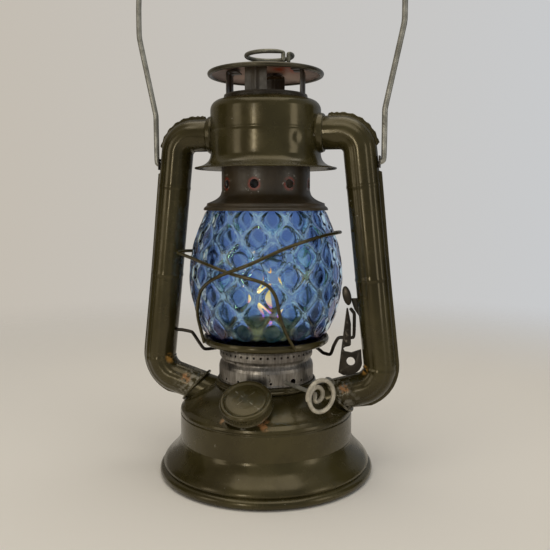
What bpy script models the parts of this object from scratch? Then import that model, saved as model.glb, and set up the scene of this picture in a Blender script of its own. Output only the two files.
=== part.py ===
"""A tubular oil lantern: a turned tank, two side air tubes, a sprung chimney, a glass globe that a
wire crank lifts, a wick with its raiser, and a wire bail.

The frame: metres, +Z up, origin at the centre of the base on the surface it stands on. The side
tubes lie on X and the filler faces -Y. Every size is a named value below, and the parts above the
tank are stacked from it.
"""

import math

import bmesh
import bpy
from mathutils import Matrix, Vector

MM = 0.001

# Stock and clearances
GAP = 0.3 * MM
SHEET = 0.7 * MM
ROUND = 24
SMALL_ROUND = 16
WIRE_ROUND = 1

# Tank
BASE_R = 62.0 * MM
BASE_BEAD_H = 5.2 * MM
TANK_R = 49.8 * MM
FLARE_TOP_Z = 20.0 * MM
SHOULDER_H = 3.9 * MM
SHOULDER_R = 47.1 * MM
DOME_H = 10.5 * MM
TANK_TOP_Z = 50.0 * MM
COLLAR_R = 29.0 * MM
COLLAR_BORE_R = 23.0 * MM
COLLAR_H = 3.6 * MM
FONT_BELOW_SHOULDER = 4.1 * MM

# Filler
FILLER_R = 44.0 * MM
FILLER_ABOVE_TANK = 2.9 * MM
FILLER_TILT = math.radians(31.0)
NECK_R = 10.3 * MM
NECK_WALL = 1.3 * MM
THREAD_H = 0.6 * MM
THREAD_PITCH = 2.3 * MM
FILLER_CAP_R = 14.0 * MM
FILLER_CAP_H = 6.2 * MM
SEAL_H = 0.8 * MM

# Burner and wick
BURNER_R = 27.3 * MM
BURNER_H = 21.0 * MM
BURNER_DOME_R = 18.2 * MM
BURNER_DOME_H = 14.6 * MM
FLAME_SLOT = (16.0 * MM, 5.0 * MM)
WICK_WIDTH = 12.0 * MM
WICK_THICK = 1.3 * MM
WICK_FOOT_Z = 14.0 * MM
WICK_ABOVE = 1.2 * MM
WICK_TUBE_BELOW_FONT = 2.5 * MM
WICK_TUBE_UP = 7.0 * MM
KNOB_AZIMUTH = math.radians(-42.5)
KNOB_RADIUS_OUT = 58.0 * MM
KNOB_RING_R = 8.5 * MM
KNOB_DEPTH = 3.4 * MM
KNOB_WIRE_R = 1.25 * MM
SHAFT_R = 1.2 * MM
SHAFT_ABOVE_SKIRT = 2.6 * MM
SPROCKET_R = 3.4 * MM
SPROCKET_W = 5.0 * MM
SPROCKET_TEETH = 8
TOOTH_H = 0.9 * MM

# Globe and its plate
PLATE_R = 36.3 * MM
PLATE_RIM_H = 3.6 * MM
PLATE_HOLE_R = 22.0 * MM
GLOBE_R = 43.8 * MM
GLOBE_H = 77.3 * MM
GLOBE_FOOT_R = 30.6 * MM
GLOBE_FOOT_SPREAD = 3.96 * MM
GLOBE_MOUTH_R = 31.6 * MM
GLOBE_WALL = 2.2 * MM
GUARD_WIRE_R = 1.0 * MM
GUARD_EAR_SHARE = 0.354
GUARD_OFF_SHARE = 0.0115

# Chimney, cap and lift ring
CHIMNEY_R = 25.0 * MM
CHIMNEY_TOP_R = 23.2 * MM
FLARE_R = 35.3 * MM
FLARE_H = 11.0 * MM
CHIMNEY_STEP_UP = 31.5 * MM
CHIMNEY_H = 63.7 * MM
DRAUGHT_HOLE_R = 2.5 * MM
DRAUGHT_HOLE_UP = 14.5 * MM
DRAUGHT_HOLES = 8
CAP_R = 32.5 * MM
CAP_ABOVE = 11.0 * MM
CAP_RISE = 4.6 * MM
LEG_WIDTH = 12.0 * MM
LEG_LAP = 5.5 * MM
LIFT_RING_R = 13.1 * MM
LIFT_RING_WIRE_R = 1.25 * MM
LIFT_RING_ABOVE = 4.4 * MM
SPRING_WIRE_R = 0.6 * MM
SPRING_TURNS = 4

# Hood
HOOD_R = 31.0 * MM
HOOD_BRIM_R = 40.0 * MM
HOOD_ABOVE_FLARE = 23.0 * MM
HOOD_H = 38.6 * MM
PORT_UP = 19.6 * MM

# Side tubes
TUBE_R = 9.2 * MM
TUBE_WALL = 0.8 * MM
TUBE_SEAM_H = 1.8 * MM
TUBE_SEAM_T = 1.2 * MM
TUBE_FACE_OFF_GLOBE_TOP = -0.9 * MM
TUBE_FACE_OFF_GLOBE_LOW = 14.1 * MM
TUBE_TOP_BEND_R = 20.7 * MM
TUBE_LOW_BEND_R = 17.2 * MM
TUBE_ENTRY_SLOPE = math.radians(17.0)
SOCKET_INSET = 3.6 * MM
SOCKET_DROP = 3.455 * MM
SOCKET_FLANGE_H = 1.8 * MM
SOCKET_FLANGE_T = 1.3 * MM
SOCKET_CUT_SLOPE = math.radians(48.5)

# Globe lift
PIVOT_ABOVE_PLATE = 3.7 * MM
LIFT_WIRE_R = 1.05 * MM
LIFT_ARM_UP = 17.0 * MM
CRANK_DROP = 11.4 * MM
CRANK_BACK_R = 31.5 * MM

# Lift bracket and catch: (x, z) from the point where the crank's axis meets the right tube's face,
# except that the bracket's foot has its z from the tube's low corner
BRACKET_TIP = (-8.1 * MM, 17.2 * MM)
BRACKET_FOOT = ((-12.3 * MM, 6.14 * MM), (-12.2 * MM, 5.54 * MM), (-9.6 * MM, 4.14 * MM))
BRACKET_NOTCH = ((-5.1 * MM, -7.9 * MM), (-8.9 * MM, -7.4 * MM), (-9.7 * MM, -6.0 * MM),
                 (-8.6 * MM, -5.0 * MM), (-5.9 * MM, -4.3 * MM), (-5.4 * MM, -3.5 * MM),
                 (-5.5 * MM, 8.2 * MM), (-7.3 * MM, 17.2 * MM))
BRACKET_NOTCH_DROP = 5.8 * MM
BRACKET_REACH = 9.0 * MM
BRACKET_HOLE = (5.4 * MM, 13.0 * MM)
BRACKET_HOLE_R = 2.45 * MM
CATCH_FREE_EDGE = ((-5.9 * MM, 22.3 * MM), (-5.6 * MM, 20.0 * MM), (-4.2 * MM, 16.0 * MM))
CATCH_FOOT = (12.4 * MM, 22.5 * MM)

# Bail
BAIL_WIRE_R = 1.65 * MM
BAIL_BELOW_PORT = 16.2 * MM
BAIL_EAR_H = 3.2 * MM
BAIL_STRAIGHT = 28.0 * MM
BAIL_LEAN_H = 45.0 * MM
BAIL_SPREAD = 9.6 * MM
BAIL_ARCH_R = 75.4 * MM

# Heights that follow from the sizes above
DOME_BASE_Z = TANK_TOP_Z - DOME_H
SHOULDER_Z = DOME_BASE_Z - SHOULDER_H
FONT_TOP_Z = SHOULDER_Z - FONT_BELOW_SHOULDER
FILLER_Z = TANK_TOP_Z + FILLER_ABOVE_TANK
WICK_TUBE_FOOT_Z = FONT_TOP_Z - WICK_TUBE_BELOW_FONT
COLLAR_TOP_Z = TANK_TOP_Z + GAP + COLLAR_H
SKIRT_Z = COLLAR_TOP_Z + GAP
DECK_Z = SKIRT_Z + BURNER_H
PLATE_Z = DECK_Z + GAP
GLOBE_Z = PLATE_Z + SHEET + GAP
GLOBE_TOP_Z = GLOBE_Z + GLOBE_H
FLARE_SEAT_Z = GLOBE_TOP_Z + GAP
CHIMNEY_Z = FLARE_SEAT_Z - 3.4 * MM
HOOD_Z = CHIMNEY_Z + HOOD_ABOVE_FLARE
HOOD_TOP_Z = HOOD_Z + HOOD_H
PORT_Z = HOOD_Z + PORT_UP
CHIMNEY_TOP_Z = CHIMNEY_Z + CHIMNEY_H
CHIMNEY_STEP_Z = CHIMNEY_Z + CHIMNEY_STEP_UP
CAP_Z = CHIMNEY_TOP_Z + CAP_ABOVE
PIVOT_Z = PLATE_Z + PIVOT_ABOVE_PLATE
SHAFT_Z = SKIRT_Z + SHAFT_ABOVE_SKIRT
BAIL_Z = PORT_Z - BAIL_BELOW_PORT

# The side tube's centre line in the XZ plane: a corner under each bend
SOCKET_CENTRE = (SHOULDER_R - SOCKET_INSET, TANK_TOP_Z - SOCKET_DROP)
TUBE_LOW_X = GLOBE_R + TUBE_FACE_OFF_GLOBE_LOW + TUBE_R
TUBE_TOP_CORNER = (GLOBE_R + TUBE_FACE_OFF_GLOBE_TOP + TUBE_R, PORT_Z)
TUBE_LOW_CORNER = (
    TUBE_LOW_X, SOCKET_CENTRE[1] + (TUBE_LOW_X - SOCKET_CENTRE[0]) * math.tan(TUBE_ENTRY_SLOPE)
)

OLIVE = ((0.045, 0.040, 0.022), 0.28, 0.0)
BARE_STEEL = ((0.36, 0.33, 0.29), 0.35, 1.0)
ZINC = ((0.50, 0.48, 0.43), 0.38, 1.0)
BLUE_GLASS = ((0.05, 0.12, 0.42), 0.05, 0.0)
DARK_RUBBER = ((0.03, 0.03, 0.03), 0.7, 0.0)
COTTON = ((0.62, 0.55, 0.42), 0.95, 0.0)
BRASS = ((0.55, 0.40, 0.16), 0.35, 1.0)


# ---------------------------------------------------------------- outlines and curves


def turn(vector):
    """A 2D vector turned a quarter turn anticlockwise."""
    return Vector((-vector[1], vector[0]))


def arc(centre, radius, start, end, steps):
    """Points on an arc between two angles in degrees."""
    angles = [math.radians(start + (end - start) * i / steps) for i in range(steps + 1)]
    return [(centre[0] + radius * math.cos(a), centre[1] + radius * math.sin(a)) for a in angles]


def rounded(corners, radii, steps):
    """A line through corners whose inner corners are rounded with arcs. Works in 2D and 3D."""
    corners = [Vector(c) for c in corners]
    path = [corners[0]]
    for before, corner, after, radius in zip(corners, corners[1:], corners[2:], radii):
        back = (before - corner).normalized()
        ahead = (after - corner).normalized()
        half = back.angle(ahead) / 2
        if half > math.radians(89.5):
            path.append(corner)
            continue
        bisector = (back + ahead).normalized()
        centre = corner + bisector * (radius / math.sin(half))
        start = corner + back * (radius / math.tan(half)) - centre
        sweep = math.pi - 2 * half
        radial = start.normalized()
        for i in range(steps + 1):
            a = sweep * i / steps
            path.append(centre + (radial * math.cos(a) - back * math.sin(a)) * radius)
    path.append(corners[-1])
    return path


def smooth(points, steps):
    """Points on a Catmull-Rom curve through the given points."""
    points = [Vector(p) for p in points]
    ends = [2 * points[0] - points[1]] + points + [2 * points[-1] - points[-2]]
    path = []
    for a, b, c, d in zip(ends, ends[1:], ends[2:], ends[3:]):
        for i in range(steps):
            t = i / steps
            path.append(
                0.5 * (2 * b + (c - a) * t + (2 * a - 5 * b + 4 * c - d) * t**2
                       + (3 * b - 3 * c + d - a) * t**3)
            )
    path.append(points[-1])
    return path


def shell(outline, wall):
    """A closed outline: the given outer side and its copy moved in by the wall. The outer side runs
    upward with the material on its left."""
    outline = [Vector(p) for p in outline]
    inner = []
    for i, point in enumerate(outline):
        before = outline[max(i - 1, 0)]
        after = outline[min(i + 1, len(outline) - 1)]
        into = (point - before).normalized() if i else (after - point).normalized()
        out = (after - point).normalized() if i < len(outline) - 1 else into
        normal = (turn(into) + turn(out)).normalized()
        inner.append(point + normal * (wall / max(normal.dot(turn(out)), 0.5)))
    return outline + inner[::-1]


# ---------------------------------------------------------------- objects


def finish(obj, look):
    colour, roughness, metallic = look
    material = bpy.data.materials.new(obj.name + "_finish")
    material.use_nodes = True
    shader = material.node_tree.nodes["Principled BSDF"]
    shader.inputs["Base Color"].default_value = (*colour, 1.0)
    shader.inputs["Roughness"].default_value = roughness
    shader.inputs["Metallic"].default_value = metallic
    obj.data.materials.append(material)
    return obj


def add(name, data):
    obj = bpy.data.objects.new(name, data)
    bpy.context.scene.collection.objects.link(obj)
    return obj


def add_mesh(name, points, faces, look=None):
    """An object from points and faces, with its faces turned outward."""
    mesh = bpy.data.meshes.new(name)
    bm = bmesh.new()
    verts = [bm.verts.new(p) for p in points]
    for face in faces:
        bm.faces.new([verts[i] for i in face])
    bmesh.ops.recalc_face_normals(bm, faces=bm.faces)
    if bm.calc_volume(signed=True) < 0:
        bmesh.ops.reverse_faces(bm, faces=bm.faces)
    bm.to_mesh(mesh)
    bm.free()
    mesh.shade_smooth()
    mesh.set_sharp_from_angle(angle=math.radians(35))
    obj = add(name, mesh)
    return finish(obj, look) if look else obj


def turned(name, outline, look=None, segments=ROUND):
    """A closed outline of (radius, height) turned about Z. Points on the axis become poles."""
    points, rings = [], []
    for radius, height in outline:
        if radius < 1e-7:
            rings.append([len(points)] * segments)
            points.append((0, 0, height))
            continue
        rings.append(range(len(points), len(points) + segments))
        for i in range(segments):
            a = math.tau * i / segments
            points.append((radius * math.cos(a), radius * math.sin(a), height))
    faces = []
    for lower, upper in zip(rings, rings[1:] + rings[:1]):
        for i in range(segments):
            j = (i + 1) % segments
            corners = list(dict.fromkeys((lower[i], lower[j], upper[j], upper[i])))
            if len(corners) > 2:
                faces.append(corners)
    return add_mesh(name, points, faces, look)


def lofted(name, rings, look=None, closed_ends=True):
    """Skins a list of rings of points. With closed_ends False the last ring joins the first."""
    count = len(rings[0])
    points = [p for ring in rings for p in ring]
    faces = []
    pairs = list(zip(range(len(rings)), range(1, len(rings))))
    if not closed_ends:
        pairs.append((len(rings) - 1, 0))
    for a, b in pairs:
        for i in range(count):
            j = (i + 1) % count
            faces.append((a * count + i, a * count + j, b * count + j, b * count + i))
    if closed_ends:
        faces.append(range(count))
        faces.append(range((len(rings) - 1) * count, len(rings) * count))
    return add_mesh(name, points, faces, look)


def plate(name, outline, low, high, look=None):
    """An outline in the XZ plane, extruded along Y from low to high."""
    rings = [[(x, y, z) for x, z in outline] for y in (low, high)]
    return lofted(name, rings, look)


def box(name, low, high, look=None):
    outline = [(low[0], low[2]), (high[0], low[2]), (high[0], high[2]), (low[0], high[2])]
    return plate(name, outline, low[1], high[1], look)


def rod(name, start, end, radius, look=None, segments=12):
    """A round rod between two points."""
    start, end = Vector(start), Vector(end)
    frame = (end - start).to_track_quat("Z", "Y")
    rings = []
    for centre in (start, end):
        angles = [math.tau * i / segments for i in range(segments)]
        circle = [Vector((radius * math.cos(a), radius * math.sin(a), 0)) for a in angles]
        rings.append([centre + frame @ p for p in circle])
    return lofted(name, rings, look)


def wire(name, points, radius, look, bevel=WIRE_ROUND):
    """A bent wire along the points, with filled ends."""
    curve = bpy.data.curves.new(name, "CURVE")
    curve.dimensions = "3D"
    curve.bevel_depth = radius
    curve.bevel_resolution = bevel
    curve.use_fill_caps = True
    spline = curve.splines.new("POLY")
    spline.points.add(len(points) - 1)
    for place, point in zip(spline.points, points):
        place.co = (*point, 1.0)
    return finish(add(name, curve), look)


def cut(obj, cutter, operation="DIFFERENCE", solver="EXACT"):
    """Cuts or joins with a helper object, which stays hidden."""
    cutter.hide_render = True
    cutter.display_type = "WIRE"
    modifier = obj.modifiers.new(cutter.name, "BOOLEAN")
    modifier.operation = operation
    modifier.solver = solver
    modifier.object = cutter
    return obj


def axis_empty(name, location, direction=(0, 0, 1)):
    """An empty on a joint's axis, whose local Z runs along direction."""
    empty = add(name, None)
    empty.location = location
    empty.rotation_mode = "QUATERNION"
    empty.rotation_quaternion = Vector((0, 0, 1)).rotation_difference(Vector(direction))
    return empty


def hang(obj, empty):
    """Parents a piece modelled in the object's frame to a joint's empty, origin on the axis."""
    obj.parent = empty
    shift = Matrix.Translation(-empty.location)
    obj.data.transform(shift)
    return obj


def ride(obj, empty):
    """Parents a piece that was modelled in the empty's own frame."""
    obj.parent = empty
    return obj


# ---------------------------------------------------------------- tank


def dome_z(radius):
    """Height of the tank's top at a radius between its shoulder and the burner collar."""
    share = (SHOULDER_R - radius) / (SHOULDER_R - COLLAR_R)
    return DOME_BASE_Z + (TANK_TOP_Z - DOME_BASE_Z) * share


def tank_outline():
    """The tank's outer side from the flat under its base bead to the bore under the burner."""
    bead_r = BASE_BEAD_H / 2
    bead = arc((BASE_R - bead_r, bead_r), bead_r, -70, 60, 3)
    flare = arc((BASE_R - 8.2 * MM, BASE_BEAD_H), 6.3 * MM, 15, 50, 2)
    top = [(SHOULDER_R, DOME_BASE_Z), (COLLAR_R, TANK_TOP_Z), (COLLAR_BORE_R, TANK_TOP_Z)]
    return (
        [(BASE_R - bead_r - 1.6 * MM, 0), (BASE_R - bead_r + 0.4 * MM, 0)]
        + bead[1:]
        + flare
        + [(TANK_R, FLARE_TOP_Z), (TANK_R, SHOULDER_Z)]
        + [(TANK_R - 0.6 * MM, SHOULDER_Z + 2.0 * MM)]
        + top
    )


def filler_direction():
    return Vector((0, -math.sin(FILLER_TILT), math.cos(FILLER_TILT)))


def filler_centre():
    return Vector((0, -FILLER_R, FILLER_Z))


def filler_bore(name, radius):
    """A cutter along the filler's axis, from above the cap to the font."""
    start = filler_centre() + filler_direction() * 2 * FILLER_CAP_H
    end = filler_centre() - filler_direction() * (FILLER_Z - FONT_TOP_Z + NECK_R)
    return rod(name, start, end, radius, segments=16)


def tank_solid(name):
    """A solid a clearance larger than the tank and its burner collar, for what sits on them."""
    lift = GAP / math.cos(math.atan2(TANK_TOP_Z - DOME_BASE_Z, SHOULDER_R - COLLAR_R))
    outline = [
        (0, SHOULDER_Z - 30 * MM),
        (TANK_R + GAP, SHOULDER_Z - 30 * MM),
        (TANK_R + GAP, SHOULDER_Z + 0.2 * MM),
        (TANK_R - 0.4 * MM + GAP, SHOULDER_Z + 2.3 * MM),
        (SHOULDER_R + 0.1 * MM, DOME_BASE_Z + lift + 0.1 * MM),
        (COLLAR_R + GAP, TANK_TOP_Z + lift),
        (COLLAR_R + GAP, COLLAR_TOP_Z + 4 * MM),
        (0, COLLAR_TOP_Z + 4 * MM),
    ]
    return turned(name, outline, segments=48)


def make_tank():
    tank = turned("tank_shell", shell(tank_outline(), SHEET), OLIVE)
    cut(tank, filler_bore("cut_tank_filler", NECK_R + GAP))
    for side, tag in ((-1, "left"), (1, "right")):
        x = side * (COLLAR_R + SHOULDER_R) / 2
        low, high = (x, 0, DOME_BASE_Z - 2 * MM), (x, 0, TANK_TOP_Z + 2 * MM)
        cut(tank, rod("cut_tank_air_" + tag, low, high, TUBE_R / 2, segments=8))
    seat_r = BASE_R - BASE_BEAD_H / 2 - 1.6 * MM
    under = [(0, 4.6 * MM), (seat_r - 5 * MM, 4.6 * MM), (seat_r - 2 * MM, SHEET + GAP),
             (seat_r + 1.2 * MM, SHEET + GAP)]
    turned("tank_bottom", shell(under, SHEET), OLIVE)

    rim_r = TANK_R - SHEET - GAP
    top = [(rim_r, FONT_TOP_Z - 4 * MM), (rim_r, FONT_TOP_Z),
           (WICK_WIDTH / 2 + 3 * MM, FONT_TOP_Z)]
    font = turned("font_top", shell(top, SHEET), BARE_STEEL)
    cut(font, filler_bore("cut_font_filler", NECK_R - NECK_WALL))

    collar = [
        (COLLAR_BORE_R, TANK_TOP_Z + GAP),
        (COLLAR_R, TANK_TOP_Z + GAP),
        (COLLAR_R, COLLAR_TOP_Z - 0.6 * MM),
        (COLLAR_R - 0.6 * MM, COLLAR_TOP_Z),
        (COLLAR_BORE_R, COLLAR_TOP_Z),
    ]
    turned("burner_collar", collar, OLIVE)


def make_filler():
    """The neck, its seal and the cap, in the filler's own frame: local Z out of the neck, zero at
    the cap's face."""
    axis = axis_empty("filler_axis", filler_centre(), filler_direction())
    mouth = -(SHEET + GAP + SEAL_H + GAP)
    deep = -(FILLER_Z - FONT_TOP_Z + NECK_R)
    outside = [(NECK_R, deep)]
    for i in range(3, 0, -1):
        top = mouth - 0.8 * MM - (i - 1) * THREAD_PITCH
        outside += [(NECK_R, top - 1.6 * MM), (NECK_R + THREAD_H, top - 0.8 * MM), (NECK_R, top)]
    outside.append((NECK_R, mouth))
    inner_r = NECK_R - NECK_WALL
    inside = [(inner_r, mouth), (inner_r, deep)]
    neck = ride(turned("filler_neck", outside + inside, OLIVE, SMALL_ROUND), axis)
    reach = 2 * TANK_R
    font = box("cut_neck_font", (-reach, -reach, -TANK_TOP_Z), (reach, reach, FONT_TOP_Z + GAP))
    cut(neck, font)

    seal = [(NECK_R - NECK_WALL, mouth + GAP), (NECK_R + 1.5 * MM, mouth + GAP),
            (NECK_R + 1.5 * MM, mouth + GAP + SEAL_H), (NECK_R - NECK_WALL, mouth + GAP + SEAL_H)]
    ride(turned("filler_seal", seal, DARK_RUBBER, segments=SMALL_ROUND), axis)

    edge = 1.2 * MM
    cap = [(FILLER_CAP_R, -FILLER_CAP_H)]
    cap += arc((FILLER_CAP_R - edge, -edge), edge, 0, 90, 3)
    cap.append((0, 0))
    ride(turned("filler_cap", shell(cap, SHEET), OLIVE, SMALL_ROUND), axis)


# ---------------------------------------------------------------- burner and wick


def knob_direction():
    return Vector((math.cos(KNOB_AZIMUTH), math.sin(KNOB_AZIMUTH), 0))


def wick_turn():
    """Turns a shape drawn with the wick's width along X so that it lies along the knob's shaft."""
    return Matrix.Rotation(KNOB_AZIMUTH, 4, "Z")


def shaft_centre():
    """Where the shaft passes beside the wick, with the sprocket against the wick's face."""
    beside = WICK_THICK / 2 + GAP + SPROCKET_R
    across = knob_direction().cross(Vector((0, 0, 1)))
    return across * beside + Vector((0, 0, SHAFT_Z))


def make_burner():
    valley = 0.55 * BURNER_H
    body = [
        (BURNER_R, SKIRT_Z),
        (BURNER_R, SKIRT_Z + 0.38 * BURNER_H),
        (BURNER_R - 0.5 * MM, SKIRT_Z + 0.45 * BURNER_H),
        (BURNER_R - 1.4 * MM, SKIRT_Z + valley),
        (BURNER_R - 0.5 * MM, SKIRT_Z + valley + 2.6 * MM),
        (BURNER_R - 0.6 * MM, SKIRT_Z + valley + 6.4 * MM),
        (BURNER_R - 3.4 * MM, DECK_Z),
        (BURNER_DOME_R + 1.0 * MM, DECK_Z),
    ]
    burner = turned("burner_body", shell(body, SHEET), BARE_STEEL)
    start = shaft_centre()
    end = start + knob_direction() * 2 * BURNER_R
    cut(burner, rod("cut_burner_shaft", start, end, SHAFT_R + GAP, segments=10))

    tube_w = WICK_WIDTH + 2 * (GAP + 0.5 * MM)
    base_r = BURNER_R - SHEET - GAP
    base = [(0, SKIRT_Z), (base_r, SKIRT_Z), (base_r, SKIRT_Z + SHEET), (0, SKIRT_Z + SHEET)]
    floor = turned("burner_base", base, BARE_STEEL)
    reach = tube_w / 2 + GAP
    deep = WICK_THICK / 2 + 2 * GAP + 2 * SPROCKET_R
    hole = box("cut_base_wick_tube", (-reach, -deep, 0), (reach, 3 * MM, SKIRT_Z + 9 * MM))
    hole.data.transform(wick_turn())
    cut(floor, hole)

    foot = [(BURNER_DOME_R + 2.6 * MM, PLATE_Z), (BURNER_DOME_R + 2.6 * MM, PLATE_Z + SHEET)]
    dome = foot + [
        (BURNER_DOME_R, PLATE_Z + SHEET),
        (BURNER_DOME_R, PLATE_Z + 0.38 * BURNER_DOME_H),
        (0.90 * BURNER_DOME_R, PLATE_Z + 0.64 * BURNER_DOME_H),
        (0.66 * BURNER_DOME_R, PLATE_Z + 0.87 * BURNER_DOME_H),
        (0.36 * BURNER_DOME_R, PLATE_Z + 0.98 * BURNER_DOME_H),
        (0, PLATE_Z + BURNER_DOME_H),
        (0, PLATE_Z + BURNER_DOME_H - SHEET),
        (0.34 * BURNER_DOME_R, PLATE_Z + 0.98 * BURNER_DOME_H - SHEET),
        (0.62 * BURNER_DOME_R, PLATE_Z + 0.87 * BURNER_DOME_H - SHEET),
        (0.90 * BURNER_DOME_R - SHEET, PLATE_Z + 0.62 * BURNER_DOME_H),
        (BURNER_DOME_R - SHEET, PLATE_Z + 0.36 * BURNER_DOME_H),
        (BURNER_DOME_R - SHEET, PLATE_Z),
    ]
    cone = turned("burner_dome", dome, BRASS, segments=SMALL_ROUND)
    half = (FLAME_SLOT[0] / 2, FLAME_SLOT[1] / 2)
    top = PLATE_Z + 2 * BURNER_DOME_H
    slot = box("cut_dome_slot", (-half[0], -half[1], PLATE_Z + 6 * MM), (half[0], half[1], top))
    slot.data.transform(wick_turn())
    cut(cone, slot)


def make_wick():
    tube_t = 0.5 * MM
    half_w = WICK_WIDTH / 2 + GAP
    half_t = WICK_THICK / 2 + GAP
    mouth = DECK_Z + WICK_TUBE_UP
    rings = []
    for grow, z in ((tube_t, WICK_TUBE_FOOT_Z), (tube_t, mouth), (0, mouth), (0, WICK_TUBE_FOOT_Z)):
        w, t = half_w + grow, half_t + grow
        rings.append([(w, t, z), (-w, t, z), (-w, -t, z), (w, -t, z)])
    tube = lofted("wick_tube", rings, BRASS, closed_ends=False)
    window = SPROCKET_R + GAP
    side = box("cut_tube_window", (-3 * MM, -window, SHAFT_Z - window),
               (3 * MM, -WICK_THICK / 2 - 0.1 * MM, SHAFT_Z + window))
    for part in (tube, side):
        part.data.transform(wick_turn())
    cut(tube, side)

    low = (-WICK_WIDTH / 2, -WICK_THICK / 2, WICK_FOOT_Z)
    high = (WICK_WIDTH / 2, WICK_THICK / 2, mouth + WICK_ABOVE)
    wick = box("wick", low, high, COTTON)
    wick.data.transform(wick_turn())


def make_wick_raiser():
    """Shaft, sprocket and wire knob, in the shaft's frame: local Z outward along the shaft."""
    axis = axis_empty("wick_raiser_axis", shaft_centre(), knob_direction())
    shaft_end = KNOB_RADIUS_OUT - KNOB_DEPTH - 2.8 * MM
    bore_r = SHAFT_R + GAP
    half = SPROCKET_W / 2
    teeth, bore = [], []
    for i in range(2 * SPROCKET_TEETH):
        a = math.pi * i / SPROCKET_TEETH
        r = SPROCKET_R if i % 2 else SPROCKET_R - TOOTH_H
        teeth.append((r * math.cos(a), r * math.sin(a)))
        bore.append((bore_r * math.cos(a), bore_r * math.sin(a)))
    sides = ((teeth, -half), (teeth, half), (bore, half), (bore, -half))
    rings = [[(x, y, z) for x, y in ring] for ring, z in sides]
    ride(lofted("wick_sprocket", rings, BRASS, closed_ends=False), axis)
    ride(rod("wick_shaft", (0, 0, -6 * MM), (0, 0, shaft_end), SHAFT_R, ZINC, segments=10), axis)

    # One turn round the shaft's line, then out to the large ring, as one bent wire.
    small = 0.47 * KNOB_RING_R
    points = [Vector((0, 0, shaft_end + GAP)), Vector((0, 0, shaft_end + 1.6 * MM))]
    for i in range(30):
        share = i / 29
        a = math.radians(-60 + 660 * share)
        grow = min(1.0, max(0.0, (share - 0.34) / 0.22))
        grow = grow * grow * (3 - 2 * grow)
        r = small + (KNOB_RING_R - small) * grow
        z = shaft_end + 2.6 * MM + KNOB_DEPTH * grow
        points.append(Vector((r * math.cos(a), r * math.sin(a), z)))
    ride(wire("wick_knob", points, KNOB_WIRE_R, ZINC), axis)


# ---------------------------------------------------------------- hood


def hood_outline():
    brim = 6.2 * MM
    shoulder = 5.6 * MM
    skirt = [
        (HOOD_BRIM_R, HOOD_Z),
        (HOOD_BRIM_R, HOOD_Z + 0.5 * MM),
        (HOOD_R + 0.45 * (HOOD_BRIM_R - HOOD_R), HOOD_Z + 0.33 * brim),
        (HOOD_R + 0.16 * (HOOD_BRIM_R - HOOD_R), HOOD_Z + 0.66 * brim),
        (HOOD_R, HOOD_Z + 1.35 * brim),
    ]
    round_top = arc((HOOD_R - shoulder, HOOD_TOP_Z - 0.8 * MM - shoulder), shoulder, 0, 80, 4)
    opening = CHIMNEY_TOP_R + 3 * GAP
    return skirt + round_top + [(opening + 0.6 * MM, HOOD_TOP_Z - 0.4 * MM), (opening, HOOD_TOP_Z)]


def make_hood():
    hood = turned("hood", shell(hood_outline(), SHEET), OLIVE)
    reach = HOOD_BRIM_R
    ports = rod("cut_hood_ports", (-reach, 0, PORT_Z), (reach, 0, PORT_Z), TUBE_R - 2 * TUBE_WALL)
    cut(hood, ports)
    around = shell(hood_outline(), -GAP)[len(hood_outline()):][::-1]
    drum = turned("cut_ferrule_hood", [(0, HOOD_Z), *around, (0, HOOD_TOP_Z)], segments=64)
    for side, tag in ((-1, "left"), (1, "right")):
        inner, outer = TUBE_R + GAP, TUBE_R + 1.5 * MM
        start, end = HOOD_R - 2.2 * MM, HOOD_R + 2.4 * MM
        ring = [(outer, start), (outer, end - 0.6 * MM), (outer - 0.6 * MM, end), (inner, end),
                (inner, start)]
        ferrule = turned("hood_ferrule_" + tag, ring, OLIVE, segments=SMALL_ROUND)
        across = Vector((side, 0, 0)).to_track_quat("Z", "Y").to_matrix().to_4x4()
        ferrule.data.transform(Matrix.Translation((0, 0, PORT_Z)) @ across)
        cut(ferrule, drum)


# ---------------------------------------------------------------- side tubes


def tube_line():
    """Direction of the tube's long leg, down and outward, and a point on it."""
    top, low = Vector(TUBE_TOP_CORNER), Vector(TUBE_LOW_CORNER)
    return top, (low - top).normalized()


def tube_x(z):
    """The centre line's x on the long leg at a height."""
    top, along = tube_line()
    return top[0] + along[0] * (z - top[1]) / along[1]


def tube_face_x(z):
    """The x of the face of the long leg that looks at the globe."""
    return tube_x(z) - TUBE_R / -tube_line()[1][1]


def entry_direction():
    """Inward and down, into the tank's top."""
    return Vector((-math.cos(TUBE_ENTRY_SLOPE), -math.sin(TUBE_ENTRY_SLOPE)))


def socket_plane():
    """A point and the outward normal of the plane where the tube ends on its socket."""
    normal = Vector((math.sin(SOCKET_CUT_SLOPE), math.cos(SOCKET_CUT_SLOPE)))
    return Vector(SOCKET_CENTRE), normal


def tube_path():
    start = Vector((HOOD_R + GAP, PORT_Z))
    end, _ = socket_plane()
    corners = [start, TUBE_TOP_CORNER, TUBE_LOW_CORNER, end]
    return rounded(corners, (TUBE_TOP_BEND_R, TUBE_LOW_BEND_R), 6)


def section(radius, seam, count=16):
    """A round section in (outward, across) coordinates, with the folded seam on its outer side."""
    half = TUBE_SEAM_T / 2
    base = math.asin(half / radius)
    ring = [(radius + seam, half), (radius * math.cos(base), half)]
    for i in range(1, count - 2):
        a = math.tau * i / (count - 2)
        ring.append((radius * math.cos(a), radius * math.sin(a)))
    ring += [(radius * math.cos(base), -half), (radius + seam, -half)]
    return ring


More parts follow.
